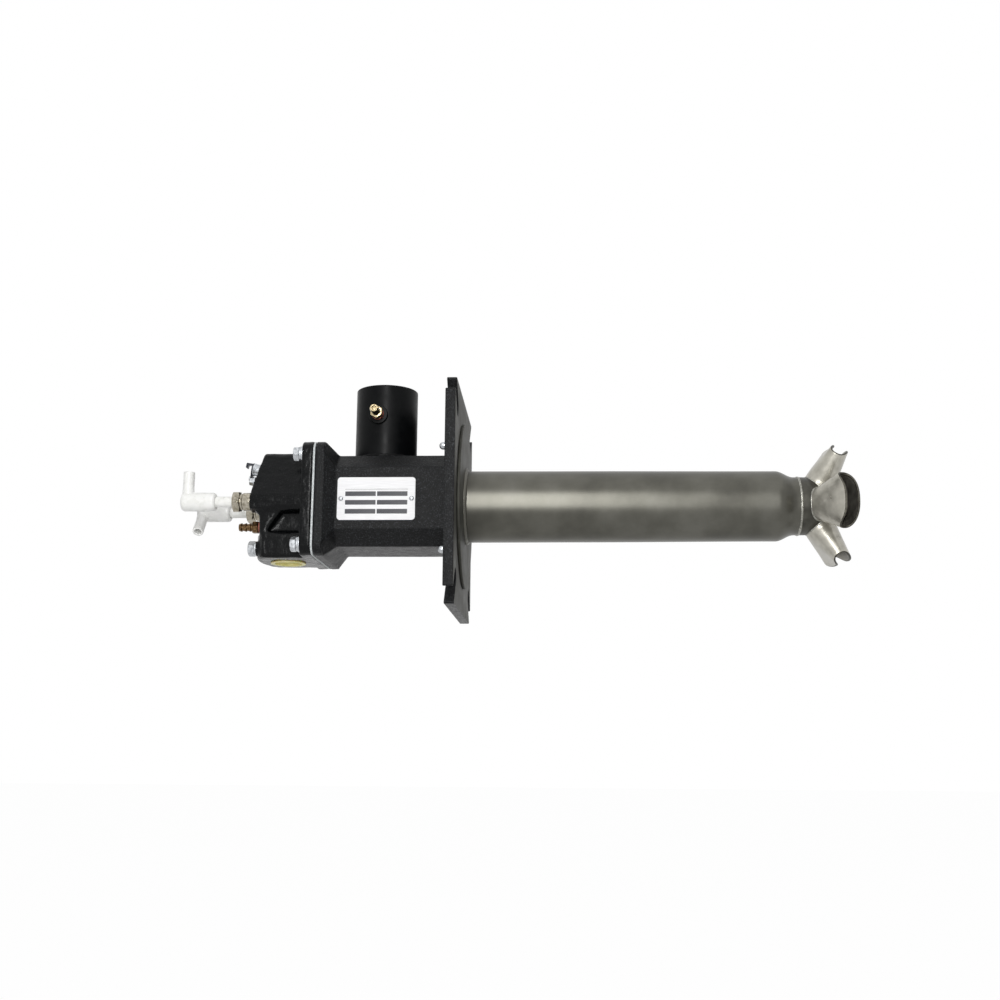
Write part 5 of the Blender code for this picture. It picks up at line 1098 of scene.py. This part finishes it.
# %% Cover bolts with their washers
BOLT_WIDTH = 13.0
BOLT_HEIGHT = 5.3
FLAT_WASHER = (4.3, 8.0, 1.6)
SPRING_WASHER = (4.3, 7.2, 2.1)
SPRING_WASHER_STEP = 40.0
BOLT_TURNS = (9.0, -14.0, 22.0, 4.0)
BOLT_SHANK_RADIUS = 4.0
for number in range(1, 5):
    centre = middle_of(f"cover_washer_{number}")
    seat = (box_of(f"cover_washer_{number}")[1].x, centre.y, centre.z)
    to_place = lay_along(REARWARD, seat)
    inner, outer, thick = FLAT_WASHER
    piece(f"cover_flat_washer_{number}", moved(washer(inner, outer, 0.0, thick), to_place), zinc,
          f"cover_washer_{number}")
    split = spring_washer(*SPRING_WASHER[:2], thick, thick + SPRING_WASHER[2])
    spin = Matrix.Rotation(math.radians(SPRING_WASHER_STEP * number), 4, AXIS)
    piece(f"cover_spring_washer_{number}", moved(split, to_place @ spin), zinc,
          f"cover_washer_{number}")
    low, high = box_of(f"cover_bolt_{number}")
    head_seat = low.x + BOLT_HEIGHT
    bolt = joined(hexagon_head(BOLT_WIDTH, BOLT_HEIGHT, turn=math.radians(BOLT_TURNS[number - 1])),
                  shank(BOLT_SHANK_RADIUS, head_seat - high.x, 0.2))
    piece(f"cover_bolt_forged_{number}",
          moved(bolt, lay_along(REARWARD, (head_seat, centre.y, centre.z))), zinc,
          f"cover_bolt_{number}")
print("heads of the cover bolts at x in mm:", round(head_seat, 1))

# %% [markdown]
# ## Dome nuts and flush screws
# The disc is held by four screws, whose bright ends stand out behind the flange far enough to
# be seen past its edge. They are drawn as dome nuts. Four countersunk screws hold the housing
# from in front. Their cross recess is cut with two crossed wedges. The sections are lists of
# (along, radius) points in millimetres.

# %% Dome nuts and countersunk screws
DOME_RADIUS = 3.6
DOME_BASE = 4.2
DOME_SHOULDER = 6.2
NUT_WIDTH, NUT_HEIGHT = 8.0, 3.8
NUT_WASHER_THICKNESS = 1.0
PAN_HEAD_HEIGHT = 3.4
SCREW_RADIUS = 2.5
SCREW_STEP = 31.0
FLUSH_HEAD_RADIUS = 5.0
FLUSH_HEAD_DEPTH = 2.8


def cross_recess(size, depth, top):
    """Two crossed wedges that point into a screw's head from above."""
    wedges = []
    for turn in (0.0, 90.0):
        shape = bmesh.new()
        rows = []
        for x, half, thick in ((top + 0.5, size / 2, size * 0.12),
                               (top - depth, size / 5, size * 0.05)):
            rows.append([shape.verts.new((x, y, z)) for y, z in
                         ((-half, -thick), (half, -thick), (half, thick), (-half, thick))])
        lofted(shape, rows)
        wedges.append(moved(shape, Matrix.Rotation(math.radians(turn), 4, AXIS)))
    return wedges


def dome_nut():
    """Dome nut M5 on a washer, its seat at X = 0; the end of its screw is joined on where it is
    placed.
    """
    section = [(DOME_BASE, 0.0), (DOME_BASE, DOME_RADIUS), (DOME_SHOULDER, DOME_RADIUS)]
    section += [(DOME_SHOULDER + DOME_RADIUS * math.sin(math.pi / 2 * step / 10),
                 DOME_RADIUS * math.cos(math.pi / 2 * step / 10)) for step in range(1, 10)]
    section.append((DOME_SHOULDER + DOME_RADIUS, 0.0))
    nut = moved(hexagon_head(NUT_WIDTH, NUT_HEIGHT, both_sides=True),
                Matrix.Translation((NUT_WASHER_THICKNESS, 0.0, 0.0)))
    return joined(turned(section, 0.2), nut, washer(2.7, 5.0, 0.0, NUT_WASHER_THICKNESS))


def flush_screw(radius, depth, shank_radius, length):
    """Countersunk head with its face at X = 0."""
    section = [(-length, 0.0), (-length, shank_radius), (-depth, shank_radius),
               (-0.4, radius), (0.0, radius), (0.0, 0.0)]
    return combined(turned(section, 0.2), cross_recess(radius * 1.1, depth * 0.7, 0.0))


for number in range(1, 5):
    low, high = box_of(f"disc_screw_{number}")
    centre = middle_of(f"disc_screw_{number}")
    turn = Matrix.Rotation(math.radians(SCREW_STEP * number), 4, AXIS)
    seat_x = low.x + PAN_HEAD_HEIGHT
    nut = joined(dome_nut(), shank(SCREW_RADIUS, seat_x - high.x, 1.5))
    piece(f"disc_dome_nut_{number}",
          moved(nut, lay_along(REARWARD, (seat_x, centre.y, centre.z)) @ turn), zinc,
          f"disc_screw_{number}")
    low, high = box_of(f"body_screw_{number}")
    centre = middle_of(f"body_screw_{number}")
    screw = flush_screw(FLUSH_HEAD_RADIUS, FLUSH_HEAD_DEPTH, SCREW_RADIUS, high.x - low.x)
    piece(f"body_flush_screw_{number}",
          moved(screw, lay_along(AXIS, (high.x, centre.y, centre.z)) @ turn), zinc,
          f"body_screw_{number}")
print("dome nuts sit at x in mm:", round(seat_x, 1))

# %% [markdown]
# ## Air pipe
# A short piece of steel pipe stands on the housing, welded round its foot. The hose of the
# blower is clamped over it. A small round pad on its side carries the test nipple.

# %% Air pipe
PIPE_X = -77.0
PIPE_RADIUS = 30.15
PIPE_WALL = 2.9
PIPE_RIM_ROUND = 0.9
PIPE_WELD_INSET = 0.3
PIPE_WELD_HEIGHT = 0.75
PAD_RADIUS = 9.3
PAD_HEIGHT = 2.6
PAD_DEPTH = 1.5
PAD_EDGE = 0.9
AIR_NIPPLE_TURN = math.radians(2.0)
AIR_NIPPLE_OFFSET = 3.2
AIR_NIPPLE_Z = 85.5
low, high = box_of("air_inlet_pipe")
pipe_section = ring_section(PIPE_RADIUS - PIPE_WALL, PIPE_RADIUS, low.z, high.z)
upright = lay_along(UPWARD, (PIPE_X, 0.0, 0.0))
piece("air_pipe_tube", moved(spun(softened(pipe_section, PIPE_RIM_ROUND)), upright), paint,
      "air_inlet_pipe")
foot_seam = round_seam(PIPE_RADIUS + PIPE_WELD_INSET, low.z + PIPE_WELD_HEIGHT)
foot_weld = weld_bead(foot_seam, 1.6, 0.9, from_axis, 0.5)
piece("air_pipe_foot_weld", moved(foot_weld, upright), paint, "air_inlet_pipe")
nipple_out = Vector((-math.sin(AIR_NIPPLE_TURN), -math.cos(AIR_NIPPLE_TURN), 0.0))
nipple_seat = (Vector((PIPE_X - AIR_NIPPLE_OFFSET, 0.0, AIR_NIPPLE_Z)) + nipple_out * PIPE_RADIUS)
pad = shank(PAD_RADIUS, -PAD_DEPTH, PAD_HEIGHT, PAD_EDGE, FINE_STEPS)
piece("air_nipple_pad", moved(pad, lay_along(nipple_out, nipple_seat)), paint,
      "air_inlet_pipe")
print("air pipe top at z in mm:", round(high.z, 1))

# %% [markdown]
# ## Test nipples
# A hose of a pressure gauge is pushed over the barbs of a test nipple. Inside is a small
# slotted screw that closes it. A nipple is turned from hexagon bar in one go, so its barbs,
# neck and hexagon are all made here from two shapes: a turned one and a hexagon.

# %% Test nipples
BARBS = 3
BARB_PITCH = 4.4
BARB_RADIUS = 4.3
NECK_OF_BARB = 3.4
NIPPLE_BORE = 2.2
NIPPLE_HEX = 11.0
NIPPLE_HEX_LENGTH = 6.0
NIPPLE_WASHER = (4.1, 5.9, 3.6)
CLOSING_SCREW_RADIUS = 1.9
CLOSING_SCREW_LENGTH = 6.0
CLOSING_SCREW_DEPTH = 0.8
SLOT_SIZE = (2.0, 6.0, 0.8, 1.0)
FIT = 0.3


def nipple_shape(hex_foot):
    """Nipple with its seat at X = 0, pointing along X."""
    hex_top = hex_foot + NIPPLE_HEX_LENGTH
    section = [(hex_top - 1.0, NIPPLE_BORE), (hex_top - 1.0, NECK_OF_BARB)]
    for barb in range(BARBS):
        start = hex_top + BARB_PITCH * barb
        section += [(start + 0.25 * BARB_PITCH, NECK_OF_BARB),
                    (start + 0.4 * BARB_PITCH, BARB_RADIUS), (start + BARB_PITCH, NECK_OF_BARB)]
    section += [(hex_top + BARBS * BARB_PITCH, NIPPLE_BORE)]
    barbs = spun(softened(section, 0.22), SMALL_STEPS)
    nut = moved(hexagon_head(NIPPLE_HEX, NIPPLE_HEX_LENGTH, both_sides=True, bore=NIPPLE_BORE),
                Matrix.Translation((hex_foot, 0.0, 0.0)))
    return joined(barbs, nut)


def closing_screw(length):
    """Small slotted screw inside a nipple, its end at X = length."""
    slot_shape = bmesh.new()
    bmesh.ops.create_cube(slot_shape, size=1.0)
    moved(slot_shape, Matrix.Translation((length, 0.0, 0.0)) @ Matrix.Diagonal(SLOT_SIZE))
    return combined(shank(CLOSING_SCREW_RADIUS, 0.0, length), [slot_shape])


def build_nipple(name, seat, direction, metal, screw_body):
    """Washer, nipple and closing screw on a seat. The screw rides on a body of its own."""
    frame_of_nipple = lay_along(direction, seat)
    inner, outer, thick = NIPPLE_WASHER
    piece(name + "_seal", moved(washer(inner, outer, FIT, FIT + thick, 0.5), frame_of_nipple),
          seal_ring, name + "_washer")
    hex_foot = 2 * FIT + thick
    piece(name + "_turned", moved(nipple_shape(hex_foot), frame_of_nipple), metal, name)
    tip = hex_foot + NIPPLE_HEX_LENGTH + BARBS * BARB_PITCH
    screw_foot = (tip - CLOSING_SCREW_DEPTH - CLOSING_SCREW_LENGTH, 0.0, 0.0)
    place = frame_of_nipple @ Matrix.Translation(screw_foot)
    piece(name + "_closing_screw", moved(closing_screw(CLOSING_SCREW_LENGTH), place), metal,
          name + "_screw", body=screw_body)


build_nipple("air_test_nipple", nipple_seat + nipple_out * PAD_HEIGHT, nipple_out, brass,
             "air_nipple_screw")
GAS_NIPPLE_SEAT = Vector((-193.1, -14.0, -22.4))
build_nipple("gas_test_nipple", GAS_NIPPLE_SEAT, REARWARD, bronze, "gas_nipple_screw")
print("air nipple sits at, in mm:", [round(v, 1) for v in nipple_seat])

# %% [markdown]
# ## Electrode glands and insulators
# Two electrodes go in through the rear cover, one for the spark and one that senses the
# flame. Each has a screwed gland with a collar and a hexagon, and a ceramic tube through it.

# %% Glands and insulators
ELECTRODE_Y = 28.5
GLAND_SEAT_X = -202.2
COLLAR_LENGTH = 10.0
COLLAR_RADIUS = 8.7
GLAND_HEX = 19.0
GLAND_HEX_LENGTH = 7.2
INSULATOR_RADIUS = 5.2
INSULATOR_BORE = 1.9
COLLAR_STEP = 0.9
collar_end = COLLAR_LENGTH + 0.4
gland_bore = INSULATOR_RADIUS + FIT
for name, side in (("ignition", -1), ("ionisation", 1)):
    at = (GLAND_SEAT_X, side * ELECTRODE_Y, 0.0)
    collar_section = [(0.0, gland_bore), (0.0, COLLAR_RADIUS),
                      (COLLAR_LENGTH * 0.72, COLLAR_RADIUS),
                      (COLLAR_LENGTH * 0.8, COLLAR_RADIUS - COLLAR_STEP),
                      (collar_end, COLLAR_RADIUS - COLLAR_STEP), (collar_end, gland_bore)]
    collar = spun(softened(collar_section, 0.4), FINE_STEPS)
    nut = moved(hexagon_head(GLAND_HEX, GLAND_HEX_LENGTH, both_sides=True, bore=gland_bore,
                             turn=math.radians(12.0 * side)),
                Matrix.Translation((COLLAR_LENGTH, 0.0, 0.0)))
    piece(name + "_gland_turned", moved(joined(collar, nut), lay_along(REARWARD, at)), nickel,
          name + "_gland")
    low, high = box_of(name + "_insulator")
    tube_shape = spun(softened(ring_section(INSULATOR_BORE, INSULATOR_RADIUS, low.x, high.x), 0.5),
                      SMALL_STEPS)
    piece(name + "_insulator_tube",
          moved(tube_shape, Matrix.Translation((0.0, side * ELECTRODE_Y, 0.0))), ceramic,
          name + "_insulator")

# %% [markdown]
# ## Plug caps
# Each electrode wears a moulded elbow cap that the ignition cable goes into. It can be turned
# and pulled off. Moulded ceramic has no sharp inside corner, so the two tubes of the elbow
# are joined as solids and remeshed, which blends them.

# %% Plug caps
CAP_RADIUS = 9.1
CAP_RIM_X = -236.2
CAP_END_X = -269.9
ELBOW_X = -264.2
STUB_RADIUS = 5.4
STUB_BORE = 3.4
STUB_LENGTH = 29.5
STUB_MOUTH_RADIUS = 3.7
CAP_SEAT = 14.6
CAP_VOXEL = 0.4
CAP_SHARP = math.radians(70.0)


def cap_shape():
    """Elbow cap with its elbow at the origin, the electrode towards +X and the stub up."""
    rim, end = CAP_RIM_X - ELBOW_X, CAP_END_X - ELBOW_X
    body = [(rim, 0.0), (rim, CAP_RADIUS), (end, CAP_RADIUS), (end, 0.0)]
    outside = spun(softened(body, 4.0, closed=False, steps=8), SMALL_STEPS, closed=False)
    upward = lay_along(UPWARD, (0.0, 0.0, 0.0))
    stub = [(0.0, 0.0), (0.0, STUB_RADIUS + 0.4), (CAP_RADIUS + 1.0, STUB_RADIUS + 0.3),
            (CAP_RADIUS + 4.0, STUB_RADIUS), (STUB_LENGTH, STUB_RADIUS), (STUB_LENGTH, 0.0)]
    whole = combined(outside, [moved(turned(stub, 0.8), upward)], "UNION")
    mouth = spun([(-2.0, 0.0), (-2.0, STUB_MOUTH_RADIUS), (CAP_SEAT, STUB_MOUTH_RADIUS),
                  (CAP_SEAT, gland_bore), (rim + 3.0, gland_bore), (rim + 3.0, 0.0)],
                 SMALL_STEPS, closed=False)
    bore = spun([(CAP_RADIUS * 0.75, 0.0), (CAP_RADIUS * 0.75, STUB_BORE),
                 (STUB_LENGTH + 3.0, STUB_BORE), (STUB_LENGTH + 3.0, 0.0)],
                SMALL_STEPS, closed=False)
    return remeshed("cap", combined(whole, [mouth, moved(bore, upward)]), CAP_VOXEL, 4)


for name, side, turn in (("ignition", -1, 0.0), ("ionisation", 1, 140.0)):
    place = (Matrix.Translation((ELBOW_X, side * ELECTRODE_Y, 0.0))
             @ Matrix.Rotation(math.radians(turn), 4, AXIS))
    piece(name + "_cap_moulded", moved(cap_shape(), place), porcelain, name + "_cap",
          body=name + "_cap", sharp=CAP_SHARP)
print("elbow of a cap at x in mm:", ELBOW_X)

# %% [markdown]
# ## Sight glass with its flap
# Through the sight glass the flame can be watched. A round steel flap keeps it dark and
# clean, swings aside on a pin, and has a bent lip for the finger.

# %% Sight glass and flap
SLOPE_OUT = Vector((-0.98466, 0.0, 0.174496))
SIGHT_SEAT = Vector((-197.08, 0.0, 36.0))
FLAP_PIVOT = Vector((-198.721, 0.0, 26.744))
FLAP_REAR = 11.6
FLAP_THICKNESS = 1.0
FLAP_RADIUS = 6.4
FLAP_EAR_RADIUS = 3.0
LIP_HEIGHT = 5.4
FLAP_PIVOT_DISTANCE = 9.4
sleeve_section = [(0.3, 3.6), (7.9, 3.6), (7.9, 4.8), (11.3, 4.8), (11.3, 6.4), (9.8, 6.4),
                  (9.4, 6.0), (2.0, 6.0), (1.6, 6.4), (0.3, 6.4)]
slope_frame = lay_along(SLOPE_OUT, SIGHT_SEAT)
piece("sight_sleeve_turned", moved(spun(softened(sleeve_section, 0.3), SMALL_STEPS), slope_frame),
      zinc, "sight_glass_sleeve")
glass_section = [(8.2, 0.0), (8.2, 4.5), (10.2, 4.5), (10.2, 0.0)]
piece("sight_glass_disc", moved(turned(glass_section, 0.2), slope_frame), sight, "sight_glass")


# %% [markdown]
# The flap hangs on a pin beside the sloping face, and its frame lies along that face.

# %% Flap with its finger lip
def flap_frame():
    """X out of the sloping face, Y along it and Z up it, at the pivot."""
    up = -SLOPE_OUT.cross(Vector((0.0, 1.0, 0.0)))
    across = up.cross(SLOPE_OUT)
    turn = Matrix((SLOPE_OUT, across, up)).transposed().to_4x4()
    return Matrix.Translation(FLAP_PIVOT) @ turn


def lip_shape(front, top):
    """Finger lip: a strip bent out of the flap and down again in two round bends."""
    half, thick, reach, drop = 4.0, 1.6, 6.6, 5.0
    outer = [(front - 0.5, top), (front + reach, top), (front + reach, top - drop)]
    inner = [(front + reach - thick, top - drop), (front + reach - thick, top - thick),
             (front - 0.5, top - thick)]
    outline = softened(outer + inner, 1.3, steps=5)
    shape = bmesh.new()
    rings = []
    for y in (-half, -half + 0.2, -half + 0.6, half - 0.6, half - 0.2, half):
        trim = max(0.0, abs(y) - half + 0.6) * 0.3
        rings.append([shape.verts.new((x, y, z)) for x, z in inset_outline(outline, -trim)])
    return lofted(shape, rings)


flap_front = FLAP_REAR + FLAP_THICKNESS
flap_outline = arc((0.0, 0.0), FLAP_EAR_RADIUS, 180.0, 360.0, 24)
flap_outline += arc((0.0, FLAP_PIVOT_DISTANCE), FLAP_RADIUS, -20.0, 200.0, 40)
flap_plate = plate(flap_outline, FLAP_REAR, flap_front, 0.25)
finger_lip = lip_shape(flap_front, FLAP_PIVOT_DISTANCE + LIP_HEIGHT)
flap = moved(joined(flap_plate, finger_lip), flap_frame())
piece("sight_flap_bent", flap, blackened, "sight_flap", body="sight_flap")
pin_section = [(-4.0, 0.0), (-4.0, 1.3), (0.3, 1.3), (0.3, 2.3), (11.3, 2.3), (11.3, 1.3),
               (12.9, 1.3), (12.9, 2.3), (14.1, 2.3), (14.1, 0.0)]
piece("flap_pivot_pin", moved(turned(pin_section, 0.3), lay_along(SLOPE_OUT, FLAP_PIVOT)), zinc,
      "sight_flap_pivot")
print("flap turns about, in mm:", [round(v, 1) for v in FLAP_PIVOT])

# %% [markdown]
# ## Screws of the cover
# An earth screw takes the cable's earth wire, and a screw plug closes a hole of the gas
# passage.

# %% Earth screw and screw plug
SLOPE_FOOT_X, SLOPE_FOOT_Z = -201.6, 10.5
SLOPE_RUN, SLOPE_RISE = 7.0, 39.5
EARTH_Z = 20.0
EARTH_PLACE = Vector((SLOPE_FOOT_X + SLOPE_RUN * (EARTH_Z - SLOPE_FOOT_Z) / SLOPE_RISE,
                      -25.0, EARTH_Z))
PLUG_PLACE = Vector((-195.5, -24.0, -45.0))


def face_screw(name, direction, seat, width, height, washer_radius, washer_thick, turn):
    """Hexagon screw on its washer, on a seat of the cover."""
    place = lay_along(direction, seat)
    low_end = FIT + washer_thick + FIT
    piece(name + "_ring", moved(washer(2.8, washer_radius, FIT, FIT + washer_thick, 0.2), place),
          zinc, name + "_washer")
    screw = joined(hexagon_head(width, height, turn=math.radians(turn)), shank(2.4, -4.0, 0.2))
    piece(name + "_forged", moved(screw, place @ Matrix.Translation((low_end, 0.0, 0.0))), zinc,
          name)


face_screw("earth_screw", SLOPE_OUT, EARTH_PLACE, 7.0, 3.6, 5.0, 1.2, 10.0)
face_screw("screw_plug", REARWARD, PLUG_PLACE, 13.0, 6.0, 7.2, 1.6, 18.0)
print("earth screw sits at, in mm:", [round(v, 1) for v in EARTH_PLACE])

# %% [markdown]
# ## Transit plug
# The gas thread is closed by a soft cup that is pulled out before the pipe is screwed in.

# %% Transit plug
INLET_X = -170.1
INLET_SEAT_Z = -54.5
cup = [(-11.0, 0.0), (-11.0, 14.4), (0.3, 14.8), (0.3, 17.0), (1.9, 17.0), (1.9, 13.3),
       (-9.5, 12.9), (-9.5, 0.0)]
plug_frame = lay_along(-UPWARD, (INLET_X, 0.0, INLET_SEAT_Z))
plug = piece("transit_plug_cup", moved(turned(cup, 0.6, FINE_STEPS), plug_frame), polythene,
             "gas_inlet_plug", body="inlet_plug")
print("transit plug faces:", len(plug.data.polygons))

# %% [markdown]
# ## Name plate
# A thin aluminium plate is riveted to the near side. It carries printed rules and fields
# that the maker fills in. Here they are left blank.

# %% Name plate and rivets
PLATE_CENTRE = Vector((-78.7, -47.0, -0.8))
PLATE_LENGTH = 74.0
PLATE_HEIGHT = 41.0
PLATE_CORNER = 3.2
plate_frame = (Matrix.Translation(PLATE_CENTRE)
               @ Matrix(((0.0, 1.0, 0.0), (-1.0, 0.0, 0.0), (0.0, 0.0, 1.0))).to_4x4())


def rounded_rectangle(length, height, radius, steps=10):
    """Outline of a rectangle round the origin, with round corners."""
    points = []
    for number, (y, z) in enumerate(((1, 1), (-1, 1), (-1, -1), (1, -1))):
        centre = (y * (length / 2 - radius), z * (height / 2 - radius))
        points += arc(centre, radius, 90.0 * number, 90.0 * (number + 1), steps)
    return points


def plate_block(y, z, length, height, base, thick, corner, edge):
    """Thin block with its middle at (y, z) that stands on a base height."""
    outline = [(py + y, pz + z) for py, pz in rounded_rectangle(length, height, corner)]
    return plate(outline, base, base + thick, edge)


piece("name_plate_sheet", moved(plate_block(0.0, 0.0, PLATE_LENGTH, PLATE_HEIGHT, 0.3, 0.8,
                                            PLATE_CORNER, 0.2), plate_frame), anodised,
      "name_plate")
INK_BASE = 1.1
INK_THICKNESS = 0.03
FIELD_HEIGHT = 4.5
RIVET_DISTANCE = 33.5
fields = []
for y, length in ((-14.9, 29.0), (15.2, 28.8)):
    for z in (4.6, -3.7, -12.3):
        fields.append(plate_block(y, z, length, FIELD_HEIGHT, INK_BASE, INK_THICKNESS, 0.3, 0.01))
fields.append(plate_block(0.2, 8.9, 59.4, 0.3, INK_BASE, INK_THICKNESS, 0.1, 0.01))
piece("name_plate_fields", moved(joined(*fields), plate_frame), ink, "name_plate")
for number, side in ((1, -1), (2, 1)):
    section = [(-2.0, 0.0), (-2.0, 1.3), (1.4, 1.3), (1.4, 2.3), (1.7, 2.2), (2.1, 1.6),
               (2.35, 0.8), (2.4, 0.0)]
    place = lay_along((0.0, -1.0, 0.0), PLATE_CENTRE + Vector((side * RIVET_DISTANCE, 0.0, 0.0)))
    piece(f"plate_rivet_domed_{number}", moved(turned(section, 0.2), place), zinc,
          f"plate_rivet_{number}")
print("name plate in mm:", PLATE_LENGTH, "by", PLATE_HEIGHT)

# %% [markdown]
# ## Pieces that keep their CAD shape
# The gasket, the gas pipe and mixing head inside, and the electrodes' wires and contacts have
# the right shape already, so they only get their finish.

# %% Finish of the CAD pieces
kept = {"cover_gasket": fibre, "air_disc": rolled_steel, "gas_lance": rolled_steel,
        "gas_nozzle": rolled_steel, "ignition_rod": wire, "ionisation_rod": wire,
        "ignition_contact": nickel, "ionisation_contact": nickel}
for name, material in kept.items():
    mesh = nodes[name].data
    for place in range(len(nodes[name].material_slots)):
        nodes[name].material_slots[place].material = material
left = [name for name, thing in nodes.items() if not thing.hide_render and name not in kept]
print("nodes without a better piece or finish:", left)

# %% [markdown]
# ## Studio
# The photograph has a plain white ground and soft light from above and in front. A large
# lamp hangs above. The one in front is tall and narrow, so that the round tube shows it as one
# long bright band and the flat black faces catch little of it.

# %% Floor
FLOOR_Z = -0.42
FLOOR_HALF_SIDE = 6.0
FLOOR_GLOW = 0.98
WHITE = (1.0, 1.0, 1.0, 1.0)


def seen_directly(owner):
    """Socket that is one for rays from the camera, off a mirror or through glass."""
    path = add_node(owner, "ShaderNodeLightPath", {})
    rays = path.outputs["Is Camera Ray"]
    for other in ("Is Glossy Ray", "Is Transmission Ray"):
        either = add_node(owner, "ShaderNodeMath", {"operation": "MAXIMUM"},
                          {0: rays, 1: path.outputs[other]})
        rays = either.outputs[0]
    return rays


def ground_material(name):
    """Pale matt ground that the camera, mirrors and glass see as near white."""
    material, shader = new_material(name, "#f4f4f4", 0.0, 0.9)
    emboss(material, shader, [(pattern(material, 30.0, detail=2.0), 0.01)])
    share = add_node(material, "ShaderNodeMath", {"operation": "MULTIPLY", 1: FLOOR_GLOW},
                     {0: seen_directly(material)})
    glow = add_node(material, "ShaderNodeEmission", {"Color": WHITE, "Strength": 1.0})
    mix = add_node(material, "ShaderNodeMixShader", {},
                   {0: share.outputs[0], 1: shader.outputs["BSDF"], 2: glow.outputs["Emission"]})
    output = material.node_tree.nodes["Material Output"]
    material.node_tree.links.new(mix.outputs["Shader"], output.inputs["Surface"])
    return material


ground = bmesh.new()
bmesh.ops.create_grid(ground, x_segments=2, y_segments=2, size=FLOOR_HALF_SIDE)
floor = placed("studio_floor", ground)
floor.data.materials.append(ground_material("matt_white_floor"))
floor.location = (0.0, 0.0, FLOOR_Z)
print("floor at z in m:", FLOOR_Z)

# %% [markdown]
# The world is plain white to the camera, to mirrors and to glass. As a lamp it's weaker, so
# that the softboxes shape the burner.

# %% World
WORLD_LIGHT = 0.3
world = bpy.data.worlds.new("studio_world")
world.use_nodes = True
bpy.context.scene.world = world
lit = world.node_tree.nodes["Background"]
lit.inputs["Color"].default_value = WHITE
lit.inputs["Strength"].default_value = WORLD_LIGHT
seen = add_node(world, "ShaderNodeBackground", {"Color": WHITE, "Strength": 1.0})
mix = add_node(world, "ShaderNodeMixShader", {},
               {0: seen_directly(world), 1: lit.outputs[0], 2: seen.outputs[0]})
world.node_tree.links.new(mix.outputs[0],
                          world.node_tree.nodes["World Output"].inputs["Surface"])
print("world light:", WORLD_LIGHT)

# %% [markdown]
# Places and sizes of the lamps are metres, and their power is watts. They were tried until the
# band of light on the tube and the pale plate looked as in the photograph.

# %% Lamps
def softbox(name, place, aim, size, power):
    """Rectangular area lamp that looks at a point."""
    data = bpy.data.lights.new(name, "AREA")
    data.shape = "RECTANGLE"
    data.size, data.size_y = size
    data.energy = power
    lamp = bpy.data.objects.new(name, data)
    lamp.location = place
    lamp.rotation_euler = (Vector(aim) - Vector(place)).to_track_quat("-Z", "Y").to_euler()
    bpy.context.scene.collection.objects.link(lamp)


softbox("top_softbox", (0.0, -0.3, 1.6), (0.0, 0.0, 0.0), (3.0, 2.0), 6.0)
softbox("front_softbox", (0.0, -1.75, 0.34), (0.05, 0.0, 0.0), (0.18, 1.5), 21.0)
bpy.context.scene.view_settings.view_transform = "Standard"
